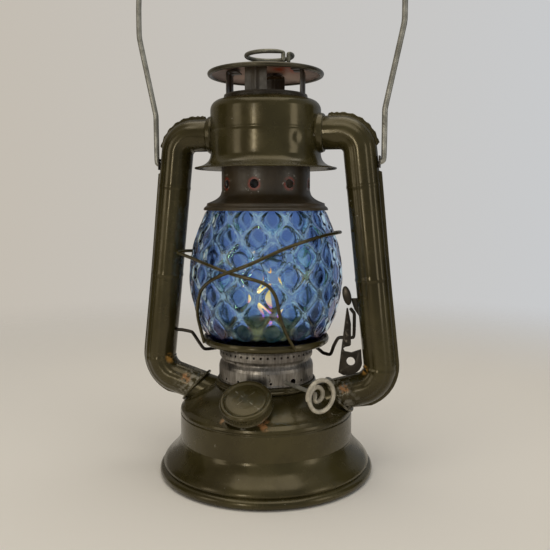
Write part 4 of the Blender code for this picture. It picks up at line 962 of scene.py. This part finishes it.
def make_globe():
    outer = globe_curve()
    inner = shell(outer, GLOBE_WALL - RELIEF)[len(outer):]
    segments, points, ridges, insides, foot_shade = 360, [], [], [], []
    rings = outer + inner
    up_wall = [0.0]
    for a, b in zip(outer, outer[1:]):
        up_wall.append(up_wall[-1] + (b - a).length)
    row = min(range(len(outer)), key=lambda k: abs(outer[k][1] - ROW_Z))
    up_wall = [d - up_wall[row] for d in up_wall]
    up_wall += up_wall[::-1]
    for index, (radius, height) in enumerate(rings):
        is_inner = index >= len(outer)
        share = (height - GLOBE_Z) / GLOBE_H
        fade = ease(share, 0.035, 0.09) * (1 - ease(share, 0.93, 0.975))
        for i in range(segments):
            a = TAU * i / segments
            ridge = lattice(a, up_wall[index]) * fade
            scallop = 0.0
            if share < 0.055 and not is_inner:
                scallop = 0.35 * MM * abs(math.sin(a * COLUMNS)) * (1 - ease(share, 0.03, 0.055))
            r = radius if is_inner else radius + RELIEF * ridge + scallop
            points.append(Vector((r * math.cos(a), r * math.sin(a), height)))
            ridges.append(ridge if not is_inner else ridge * 0.5)
            insides.append(1.0 if is_inner else 0.0)
            # The painted shade on the foot ends in a scalloped line under the lattice.
            edge = FOOT_SHADE_BAND + 1.4 * MM * abs(math.sin(a * COLUMNS))
            foot_shade.append(1 - ease(height - GLOBE_Z, edge - 1.2 * MM, edge + 0.6 * MM))
    faces = []
    count = len(rings)
    for a in range(count):
        b = (a + 1) % count
        for i in range(segments):
            j = (i + 1) % segments
            faces.append((a * segments + i, a * segments + j, b * segments + j, b * segments + i))
    obj = mesh_piece("globe_glass", points, faces, glass, sharp=60)
    for name, values in (("ridge", ridges), ("inner", insides), ("foot", foot_shade)):
        attribute = obj.data.attributes.new(name, "FLOAT", "POINT")
        attribute.data.foreach_set("value", values)
    return obj


ride_for(make_globe(), "globe_carrier", "blue_glass", "globe")

PLATE_BORE_R = 22.0 * MM
RIM_H = top("globe_plate") - PLATE_Z
RIM_IN = PLATE_R - 1.9 * MM
dish = [(PLATE_BORE_R, PLATE_Z), (RIM_IN - 1.0 * MM, PLATE_Z), (PLATE_R - 1.2 * MM, PLATE_Z - 0.5 * MM),
        (PLATE_R - 0.2 * MM, PLATE_Z + 0.5 * MM), (PLATE_R, PLATE_Z + 0.55 * RIM_H),
        (PLATE_R - 0.5 * MM, PLATE_Z + RIM_H), (PLATE_R - 1.4 * MM, PLATE_Z + RIM_H),
        (RIM_IN, PLATE_Z + 0.6 * RIM_H), (RIM_IN - 0.4 * MM, PLATE_Z + SHEET + GAP),
        (RIM_IN - 1.4 * MM, PLATE_Z + SHEET), (PLATE_BORE_R, PLATE_Z + SHEET)]
ride_for(turned("globe_plate_skin", soften(dish, 0.8 * MM, 4), hood_paint), "globe_carrier",
         "olive_enamel", "globe_plate")


# ---------------------------------------------------------------- chimney, cap and lift ring


def chimney_side():
    seat = top("globe") + GAP
    flare = [*offsets(FLARE_R, CHIMNEY_Z, (-0.15, 0), (0, 0.6), (-0.5, 1.6), (-1.7, 2.6)),
             (FLARE_R - 2.0 * MM, seat + 0.4 * MM), (FLARE_R - 3.4 * MM, seat + 1.0 * MM),
             *offsets(CHIMNEY_R, CHIMNEY_Z, (3.6, 5.9), (1.0, 8.1), (0, 11))]
    wall = [(CHIMNEY_R, CHIMNEY_Z + 11 * MM + k * (CHIMNEY_STEP_Z - CHIMNEY_Z - 11 * MM) / 16)
            for k in range(1, 17)]
    mouth = [(CHIMNEY_MOUTH_R, CHIMNEY_STEP_Z + 1.2 * MM),
             *offsets(CHIMNEY_MOUTH_R, CHIMNEY_TOP_Z, (0, -1.4), (0.25, -0.9), (0, 0))]
    return smooth(flare, 3) + wall + mouth


holes = [(TAU * i / DRAUGHT_HOLES, DRAUGHT_Z, CHIMNEY_R) for i in range(DRAUGHT_HOLES)]
chimney = turned("chimney_skin", shell(chimney_side(), SHEET), soot_and_glow_enamel)
carved(chimney, many_rods("cut_draught", holes, 6 * MM, DRAUGHT_R))


def near_hole(point):
    """1 at a draught hole's rim, falling to 0 a few millimetres out."""
    best = 0.0
    for angle, height, radius in holes:
        centre = Vector((radius * math.cos(angle), radius * math.sin(angle), height))
        best = max(best, 1 - ((point - centre).length - DRAUGHT_R) / (5 * MM))
    return max(0.0, min(1.0, best))


mark(chimney, "near_hole", near_hole)
# The inner faces round the draught holes take the painted flame glow.
chimney.data.materials.append(scale)
for polygon in chimney.data.polygons:
    centre = polygon.center
    if polygon.normal.xy.dot(centre.xy) < 0 and CHIMNEY_Z + 8 * MM < centre.z < CHIMNEY_Z + 24 * MM:
        polygon.material_index = 1
ride_for(chimney, "chimney", "smoked_enamel", "chimney")

SEAT_BORE_R, SEAT_R = 23.5 * MM, 27.8 * MM
seat_low, seat_high = bottom("spring_seat"), top("spring_seat")
seat_edge = [(SEAT_BORE_R, seat_low), (SEAT_R, seat_low), (SEAT_R, seat_high),
             (SEAT_BORE_R, seat_high)]
ride_for(turned("spring_washer", seat_edge, inner_steel, MEDIUM), "chimney", "worn_steel", "spring_seat")


def cap_under_z(radius):
    """The height of the cap's underside."""
    share = radius / (CAP_R - 4 * MM)
    return CAP_Z + 1.6 * MM + CAP_RISE * (1 - share * share) - SHEET


radii = [k * (CAP_R - 3.4 * MM) / 16 for k in range(17)]
under = [(r, cap_under_z(r)) for r in radii]
bead = arc((CAP_R - 1.3 * MM, CAP_Z + 0.3 * MM), 1.3 * MM, 200, 460, 16)
upper = [(r, z + SHEET) for r, z in under[::-1]]
cap = turned("cap_disc", under + bead + upper, cap_paint)
# The underside takes the heat tint with its painted flame reflection.
cap.data.materials.append(tinted)
for polygon in cap.data.polygons:
    if polygon.normal.z < -0.3 and polygon.center.xy.length < CAP_R - 2.9 * MM:
        polygon.material_index = 1
ride_for(cap, "chimney", "smoked_enamel", "cap")


def make_leg(node, degrees):
    """A bent strip with a rib pressed down its middle."""
    half = LEG_WIDTH / 2
    r = math.sqrt((CHIMNEY_MOUTH_R - SHEET - GAP) ** 2 - half**2)
    foot, head = bottom(node), top(node)
    line = rounded([(r, foot), (r, head), (r - 6 * MM, head)], [1.6 * MM], 6)
    line = [line[0], *[Vector((r, foot + (head - foot) * k / 8)) for k in range(1, 8)], *line[1:]]
    across = [half * (k / 12 - 1) for k in range(25)]
    rings = []
    for k, point in enumerate(line):
        ahead = line[min(k + 1, len(line) - 1)] - line[max(k - 1, 0)]
        out = -turn(ahead.normalized())
        outer, inner = [], []
        for y in across:
            rib = 0.7 * MM * math.exp(-((y / (1.3 * MM)) ** 2)) * ease(k, 0, 3)
            narrow = 1 - 0.10 * ease(k, len(line) - 4, len(line) - 1)
            for lift, ring in ((rib, outer), (rib - SHEET, inner)):
                p = point + out * lift
                ring.append(Vector((p[0], y * narrow, p[1])))
        rings.append(outer + inner[::-1])
    obj = lofted(node + "_strip", rings, soot_and_glow_enamel)
    obj.data.transform(Matrix.Rotation(math.radians(degrees), 4, "Z"))
    return obj


for tag, degrees in (("front", -90), ("right", 0), ("back", 90), ("left", 180)):
    leg = make_leg("cap_leg_" + tag, degrees)
    ride_for(leg, "chimney", "smoked_enamel", "cap_leg_" + tag)


# ---------------------------------------------------------------- hood and side tubes


def hood_side():
    brim = HOOD_BRIM_H
    span = HOOD_BRIM_R - HOOD_R
    skirt = [*offsets(HOOD_BRIM_R, HOOD_Z, (-0.2, 0), (0.1, 0.35), (-0.1, 0.8), (-1.2, 1.0)),
             (HOOD_R + 0.45 * span, HOOD_Z + 0.36 * brim), (HOOD_R + 0.16 * span, HOOD_Z + 0.70 * brim),
             (HOOD_R + 0.03 * span, HOOD_Z + 1.1 * brim), (HOOD_R, HOOD_Z + 1.5 * brim)]
    crease = HOOD_Z + HOOD_CREASE_H
    side = offsets(HOOD_R, crease, (0, -1.2), (-0.25, -0.4), (-0.35, 0), (-0.2, 0.5), (-0.05, 1.4))
    shoulder = 5.6 * MM
    rise = HOOD_TOP_Z - 0.8 * MM
    crown = arc((HOOD_R - shoulder, rise - shoulder), shoulder, 0, 80, 14)
    mouth = [(HOOD_MOUTH_R + 0.6 * MM, HOOD_TOP_Z - 0.35 * MM), (HOOD_MOUTH_R, HOOD_TOP_Z)]
    wall = [(HOOD_R, HOOD_Z + 1.5 * brim + k * (crease - HOOD_Z - 1.5 * brim - 1.2 * MM) / 10)
            for k in range(1, 10)]
    return smooth(skirt, 4) + wall + side + crown + mouth


DIMPLES = ((Vector((22.6 * MM, -21.4 * MM, 189.3 * MM)), 3.2 * MM, 0.5 * MM),
           (Vector((-6 * MM, -30.4 * MM, 199 * MM)), 4.5 * MM, 0.22 * MM),
           (Vector((14 * MM, 27.6 * MM, 192 * MM)), 6 * MM, 0.4 * MM))


def dented(radius, height, angle):
    point = Vector((radius * math.cos(angle), radius * math.sin(angle), height))
    for centre, size, depth in DIMPLES:
        away = (point - centre).length / size
        if away < 3:
            radius -= depth * math.exp(-away * away * 1.6)
    return radius, height


hood = turned("hood_skin", shell(hood_side(), SHEET), hood_paint, 256, dented)
ports = rod("cut_ports", (-50 * MM, 0, PORT_Z), (50 * MM, 0, PORT_Z), TUBE_R - 1.6 * MM, hood_paint, 64)
carved(hood, ports)
ride_for(hood, "frame", "olive_enamel", "hood")

for side, tag in ((-1, "left"), (1, "right")):
    node = "hood_ferrule_" + tag
    inner, outer = TUBE_R + 0.1 * MM, TUBE_R + 1.4 * MM
    start, end = HOOD_R - 2.0 * MM, HOOD_R + 2.4 * MM
    edge = soften([(inner, start), (outer + 0.2 * MM, start), (outer + 0.5 * MM, start + 1.6 * MM),
                   (outer, end - 0.9 * MM), (outer - 0.4 * MM, end), (inner, end)], 0.6 * MM, 4)
    ferrule = turned(node + "_ring", edge + [(inner, start)], hood_paint, MEDIUM,
                     place=port_place(side))
    ride_for(ferrule, "frame", "olive_enamel", node)


def socket_plane():
    """The centre and the normal of the plane that cuts the tube where it meets its socket."""
    entry = Vector((-math.cos(ENTRY_SLOPE), -math.sin(ENTRY_SLOPE)))
    reach = (TUBE_LOW_CORNER[0] - SHOULDER_R + SOCKET_INSET) / math.cos(ENTRY_SLOPE)
    return Vector(TUBE_LOW_CORNER) + entry * reach, Vector((math.sin(CUT_SLOPE), math.cos(CUT_SLOPE)))


def even_path(path, step):
    """The same line with points an even step apart."""
    lengths = [0.0]
    for a, b in zip(path, path[1:]):
        lengths.append(lengths[-1] + (b - a).length)
    count = round(lengths[-1] / step)
    points, k = [], 0
    for i in range(count + 1):
        at = lengths[-1] * i / count
        while k < len(path) - 2 and lengths[k + 1] < at:
            k += 1
        share = (at - lengths[k]) / (lengths[k + 1] - lengths[k])
        points.append(path[k].lerp(path[k + 1], share))
    return points


CUT_CENTRE, CUT_NORMAL = socket_plane()
TUBE_PATH = even_path(
    rounded([Vector((HOOD_R + GAP, PORT_Z)), TUBE_TOP_CORNER, TUBE_LOW_CORNER,
             CUT_CENTRE + CUT_NORMAL * TUBE_END_GAP], [TUBE_TOP_BEND, TUBE_LOW_BEND], 40), TUBE_STEP)
BEADS = (BAIL_Z - 13.1 * MM, 113 * MM, 62 * MM)
SECTION = 60
# Each flute's place round the section and its width, in degrees, and its depth.
FLUTES = ((58, 5.5, 0.5 * MM), (112, 6.5, 0.42 * MM))
CRIMP = 0.28 * MM
CRIMP_TURN = 0.75 * 2.3


def fin_height(z, i, last):
    """How far the folded seam stands out of the tube at a point on its path."""
    if i < 6 or i > last - 6:
        return 0.0
    if z > BAIL_Z + 7 * MM:
        return SEAM_H * 0.95 + CRIMP * math.sin(i * CRIMP_TURN)
    if z > BAIL_Z - 6.0 * MM:
        return 0.15 * MM
    return SEAM_H * (0.9 - 0.25 * math.exp(-((z - 115 * MM) / (40 * MM)) ** 2))


def tube_ring(side, i, radius, on_outside):
    """The tube's section at one point of its path: round, with pressed flutes, beads and the seam's
    fin on the outside."""
    last = len(TUBE_PATH) - 1
    before, after = TUBE_PATH[max(i - 1, 0)], TUBE_PATH[min(i + 1, last)]
    along = (after - before).normalized()
    out = turn(along)
    fin = fin_height(TUBE_PATH[i][1], i, last) if on_outside else 0.0
    half = SEAM_T / 2
    base = math.degrees(math.asin(half / radius))
    angles = [base + (360 - 2 * base) * k / (SECTION - 1) for k in range(SECTION)]
    flat = []
    for degrees in angles:
        r = radius
        if on_outside:
            turned_by = min(degrees, 360 - degrees)
            for centre, width, depth in FLUTES:
                away = (turned_by - centre) / width
                r -= depth * math.exp(-away * away) * ease(i, 4, 16) * ease(last - i, 4, 16)
            for bead_z in BEADS:
                away = (TUBE_PATH[i][1] - bead_z) / (0.9 * MM)
                r += 0.3 * MM * math.exp(-away * away)
        a = math.radians(degrees)
        flat.append((r * math.cos(a), r * math.sin(a)))
    tip = radius * math.cos(math.radians(base)) + fin
    flat += [(tip - 0.25 * MM, -half), (tip, -half * 0.6), (tip, half * 0.6), (tip - 0.25 * MM, half)]
    ring = []
    for outward, across in flat:
        x, z = TUBE_PATH[i] + out * outward
        if i > last - 3:
            slide = (CUT_CENTRE + CUT_NORMAL * TUBE_END_GAP - Vector((x, z))).dot(CUT_NORMAL)
            slide /= along.dot(CUT_NORMAL)
            if i == last or slide < 0:
                x, z = Vector((x, z)) + along * slide
        ring.append(Vector((side * x, across, z)))
    return ring


def make_tube(side, tag):
    """The bent tube, with no rings close to its cut end but the last one."""
    keep = []
    for i in range(len(TUBE_PATH)):
        back = (TUBE_PATH[-1] - TUBE_PATH[i]).length
        if i == len(TUBE_PATH) - 1 or back > 14 * MM:
            keep.append(i)
    outside = [tube_ring(side, i, TUBE_R, True) for i in keep]
    inside = [tube_ring(side, i, TUBE_R - TUBE_WALL, False) for i in keep]
    return lofted("air_tube_%s_skin" % tag, outside + inside[::-1], tube_paint, closed_ends=False,
                  sharp=50)


for side, tag in ((-1, "left"), (1, "right")):
    ride_for(make_tube(side, tag), "frame", "olive_enamel", "air_tube_" + tag)


def make_socket(side, tag):
    """The arch on the tank's top that the tube ends against: a saddle with a pressed flange."""
    along = Vector((math.cos(ENTRY_SLOPE), math.sin(ENTRY_SLOPE)))
    inner_end = CUT_CENTRE - along * (CUT_CENTRE[0] - 18 * MM) / along[0]
    flange = 1.3 * MM
    out = turn(along)
    stations = []
    for share in (0.0, 0.25, 0.5, 0.75):
        stations.append((inner_end.lerp(CUT_CENTRE - CUT_NORMAL * flange, share), TUBE_R, share > 0.6))
    stations += [(CUT_CENTRE - CUT_NORMAL * flange, TUBE_R, True),
                 (CUT_CENTRE - CUT_NORMAL * flange, TUBE_R + 1.5 * MM, True),
                 (CUT_CENTRE - CUT_NORMAL * (flange * 0.7), TUBE_R + 1.8 * MM, True),
                 (CUT_CENTRE - CUT_NORMAL * (flange * 0.3), TUBE_R + 1.8 * MM, True),
                 (CUT_CENTRE, TUBE_R + 1.5 * MM, True), (CUT_CENTRE, TUBE_R - 0.8 * MM, True),
                 (inner_end, TUBE_R - 0.8 * MM, False)]
    rings = []
    for point, radius, on_plane in stations:
        ring = []
        for k in range(72):
            a = TAU * k / 72
            x, z = point + out * radius * math.cos(a)
            if on_plane:
                slide = (point - Vector((x, z))).dot(CUT_NORMAL) / along.dot(CUT_NORMAL)
                x, z = Vector((x, z)) + along * slide
            ring.append(Vector((side * x, radius * math.sin(a), z)))
        rings.append(ring)
    socket = lofted("tube_socket_%s_skin" % tag, rings, tube_paint, closed_ends=False)
    line = [(r, z + 0.05 * MM) for r, z in tank_outline() if z > 12 * MM]
    solid = [(0, 12 * MM)] + line + [(COLLAR_R + 0.1 * MM, TANK_TOP_Z + 0.1 * MM),
                                     (COLLAR_R + 0.1 * MM, 60 * MM), (0, 60 * MM)]
    solid = [p for p in solid if not (COLLAR_BORE_R - 1 * MM < p[0] < COLLAR_R - 0.1 * MM)]
    return carved(socket, turned("cut_socket", solid, tube_paint, 128))


for side, tag in ((-1, "left"), (1, "right")):
    ride_for(make_socket(side, tag), "frame", "olive_enamel", "tube_socket_" + tag)


# ---------------------------------------------------------------- wires and small plates


def refined(name, node, material, slot, body, swell):
    """A wire from its CAD node with a rounder section: smoothed, then grown back to its radius."""
    obj = copy_of_node(name, node, material)
    smoother = obj.modifiers.new("smooth", "SUBSURF")
    smoother.levels = 2
    smoother.render_levels = 2
    grow = obj.modifiers.new("grow", "DISPLACE")
    grow.strength = swell
    grow.mid_level = 0.0
    settle(obj)
    obj.data.set_sharp_from_angle(angle=math.radians(80))
    return ride_for(obj, body, slot, node)


refined("guard_low", "guard_wire_low", tube_paint, "olive_enamel", "globe_carrier", 0.10 * MM)
refined("guard_high", "guard_wire_high", tube_paint, "olive_enamel", "globe_carrier", 0.10 * MM)
refined("crank_wire", "lift_wire", oxide, "dark_steel", "lift_lever", 0.11 * MM)
refined("knob_wire", "wick_knob", cream, "knob_wire", "wick_raiser", 0.13 * MM)
refined("bail_wire", "bail", zinc, "galvanised_wire", "bail", 0.17 * MM)
refined("ring_wire", "lift_ring", ring_zinc, "dark_steel", "chimney", 0.13 * MM)
refined("knob_shaft", "wick_shaft", zinc, "galvanised_wire", "wick_raiser", 0.08 * MM)

for node, body in (("lift_bracket", "frame"), ("lift_catch", "frame"), ("lift_thumb", "lift_lever"),
                   ("bail_ear_left", "frame"), ("bail_ear_right", "frame")):
    plate = softened_copy(node + "_plate", node, oxide, 0.22 * MM)
    ride_for(plate, body, "dark_steel", node)

# The CAD pieces that stay as they are: inner ones, seen only through gaps.
for node, finish in (("tank_bottom", tank_paint), ("font_top", inner_steel),
                     ("burner_base", inner_steel), ("wick_tube", stained_brass),
                     ("wick_sprocket", stained_brass)):
    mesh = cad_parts[node].data
    mesh.materials.clear()
    mesh.materials.append(finish)
# The chimney rests on the globe, so the real spring shortens as the globe rises; this coil is a copy of
# its CAD node, on the frame, with a mesh of its own.
spring = copy_of_node("chimney_coil", "chimney_spring", zinc)
ride_for(spring, "frame", "galvanised_wire", "chimney_spring")
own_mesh(spring)


# ---------------------------------------------------------------- floor, light and camera

SIGHT = math.radians(14.5)
CAMERA_AT = (0.0972, -0.3757, 0.15625)
CAMERA_LENS = 44.38
CAMERA_YAW = math.radians(0.758)
CAMERA_PITCH = math.radians(6.285)
BACKDROP_LEFT = (0.575, 0.520, 0.440, 1.0)
BACKDROP_RIGHT = (0.620, 0.650, 0.690, 1.0)
BACKDROP_SEEN, BACKDROP_LIGHT = 0.95, 0.42
FLOOR_R = 0.8
FLOOR_GAP = 0.15 * MM
LIGHT_AIM = Vector((0, 0, 0.13))
AHEAD = Vector((-math.sin(SIGHT), math.cos(SIGHT), 0))
RIGHT = Vector((math.cos(SIGHT), math.sin(SIGHT), 0))


def plain(name, colour, roughness):
    f = Finish(name)
    f.set(Base_Color=f.mix(f.noise(3, 2), colour, tuple(0.98 * c for c in colour)), Roughness=roughness)
    return f


def make_floor():
    """A wide pale disc that thins out into the backdrop, so that no horizon shows."""
    f = plain("floor_paper", (0.83, 0.80, 0.755), 0.85)
    distance = f.add("ShaderNodeVectorMath", operation="LENGTH")
    f.put(distance.inputs[0], f.place)
    f.set(Alpha=f.range(distance.outputs["Value"], 0.25, 0.75, 1.0, 0.0))
    points, faces = [Vector((0, 0, -FLOOR_GAP))], []
    for i in range(MEDIUM):
        a = TAU * i / MEDIUM
        points.append(Vector((FLOOR_R * math.cos(a), FLOOR_R * math.sin(a), -FLOOR_GAP)))
        faces.append((0, i + 1, (i + 1) % MEDIUM + 1))
    mesh = bpy.data.meshes.new("floor")
    mesh.from_pydata(points, [], faces)
    mesh.materials.append(f.material)
    floor = bpy.data.objects.new("floor", mesh)
    bpy.context.scene.collection.objects.link(floor)
    floor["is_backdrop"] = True


def card(name, degrees, distance, height, size, colour):
    """A flat card that only glass and gloss see, facing the lantern. Degrees run clockwise from the
    camera's side as seen from above."""
    a = math.radians(degrees)
    way = -AHEAD * math.cos(a) + RIGHT * math.sin(a)
    centre = way * distance + Vector((0, 0, height))
    across = Vector((-way.y, way.x, 0)) * size[0] / 2
    up = Vector((0, 0, size[1] / 2))
    mesh = bpy.data.meshes.new(name)
    corners = [centre - across - up, centre + across - up, centre + across + up, centre - across + up]
    mesh.from_pydata(corners, [], [(0, 1, 2, 3)])
    f = Finish(name)
    f.set(Base_Color=f.mix(f.noise(2, 1), colour, tuple(0.9 * c for c in colour)), Roughness=1.0,
          Specular_IOR_Level=0.0)
    mesh.materials.append(f.material)
    obj = bpy.data.objects.new(name, mesh)
    bpy.context.scene.collection.objects.link(obj)
    obj.visible_camera = False
    obj.visible_diffuse = False
    obj.visible_shadow = False
    obj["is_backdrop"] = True


def softbox(name, degrees, elevation, distance, size, power, colour=(1.0, 0.93, 0.80)):
    a, e = math.radians(degrees), math.radians(elevation)
    way = (-AHEAD * math.cos(a) + RIGHT * math.sin(a)) * math.cos(e) + Vector((0, 0, math.sin(e)))
    light = bpy.data.lights.new(name, "AREA")
    light.shape = "RECTANGLE"
    light.size, light.size_y = size
    light.energy = power
    light.color = colour
    obj = bpy.data.objects.new(name, light)
    obj.location = LIGHT_AIM + way * distance
    obj.rotation_mode = "QUATERNION"
    obj.rotation_quaternion = (-way).to_track_quat("-Z", "Y")
    bpy.context.scene.collection.objects.link(obj)
    obj.visible_camera = False


def make_world():
    """A pale backdrop, warm on the left and cooler on the right, dimmer as a light than as seen."""
    world = bpy.data.worlds.new("studio")
    world.use_nodes = True
    tree = world.node_tree
    background = tree.nodes["Background"]
    coordinates = tree.nodes.new("ShaderNodeTexCoord")
    split = tree.nodes.new("ShaderNodeSeparateXYZ")
    tree.links.new(coordinates.outputs["Generated"], split.inputs[0])
    across = tree.nodes.new("ShaderNodeMapRange")
    tree.links.new(split.outputs["X"], across.inputs["Value"])
    across.inputs["From Min"].default_value = -0.7
    across.inputs["From Max"].default_value = 0.4
    blend = tree.nodes.new("ShaderNodeMix")
    blend.data_type = "RGBA"
    tree.links.new(across.outputs["Result"], blend.inputs[0])
    blend.inputs[6].default_value = BACKDROP_LEFT
    blend.inputs[7].default_value = BACKDROP_RIGHT
    tree.links.new(blend.outputs[2], background.inputs["Color"])
    path = tree.nodes.new("ShaderNodeLightPath")
    seen = tree.nodes.new("ShaderNodeMath")
    seen.operation = "MAXIMUM"
    tree.links.new(path.outputs["Is Camera Ray"], seen.inputs[0])
    tree.links.new(path.outputs["Is Transmission Ray"], seen.inputs[1])
    level = tree.nodes.new("ShaderNodeMapRange")
    tree.links.new(seen.outputs[0], level.inputs["Value"])
    level.inputs["To Min"].default_value = BACKDROP_LIGHT
    level.inputs["To Max"].default_value = BACKDROP_SEEN
    tree.links.new(level.outputs["Result"], background.inputs["Strength"])
    bpy.context.scene.world = world


def make_camera():
    camera = bpy.data.cameras.new("camera")
    camera.lens = CAMERA_LENS
    camera.sensor_width = 36.0
    obj = bpy.data.objects.new("camera", camera)
    bpy.context.scene.collection.objects.link(obj)
    obj.location = CAMERA_AT
    heading = AHEAD * math.cos(CAMERA_YAW) + RIGHT * math.sin(CAMERA_YAW)
    look = heading * math.cos(CAMERA_PITCH) - Vector((0, 0, math.sin(CAMERA_PITCH)))
    obj.rotation_mode = "QUATERNION"
    obj.rotation_quaternion = look.to_track_quat("-Z", "Y")
    bpy.context.scene.camera = obj


make_floor()
make_world()
softbox("overhead", 0, 84, 0.9, (1.1, 1.1), 6.3)
softbox("front_strip", -24, 6, 1.0, (0.10, 0.34), 1.3)
softbox("left_box", -60, 8, 1.0, (0.26, 0.5), 0.75)
softbox("right_box", 58, 8, 1.0, (0.26, 0.5), 0.9)
card("dark_left", -98, 0.42, 0.12, (0.22, 0.5), (0.01, 0.01, 0.012))
card("dark_right", 98, 0.42, 0.12, (0.22, 0.5), (0.01, 0.01, 0.012))
card("flag_left", -158, 0.128, 0.125, (0.022, 0.13), (0.006, 0.006, 0.012))
card("flag_right", 157, 0.116, 0.125, (0.020, 0.13), (0.006, 0.008, 0.012))

glow = bpy.data.lights.new("flame_glow", "POINT")
glow.energy = 0.05
glow.color = (1.0, 0.62, 0.30)
glow.shadow_soft_size = 4 * MM
glow_at = bpy.data.objects.new("flame_glow", glow)
glow_at.location = (0, 0, sum(flame_span()) / 2 + 20 * MM)
bpy.context.scene.collection.objects.link(glow_at)
glow_at.visible_camera = False
glow_at.visible_glossy = False
glow_at.visible_transmission = False

make_camera()
bpy.context.scene.view_settings.view_transform = "Standard"

low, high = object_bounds()
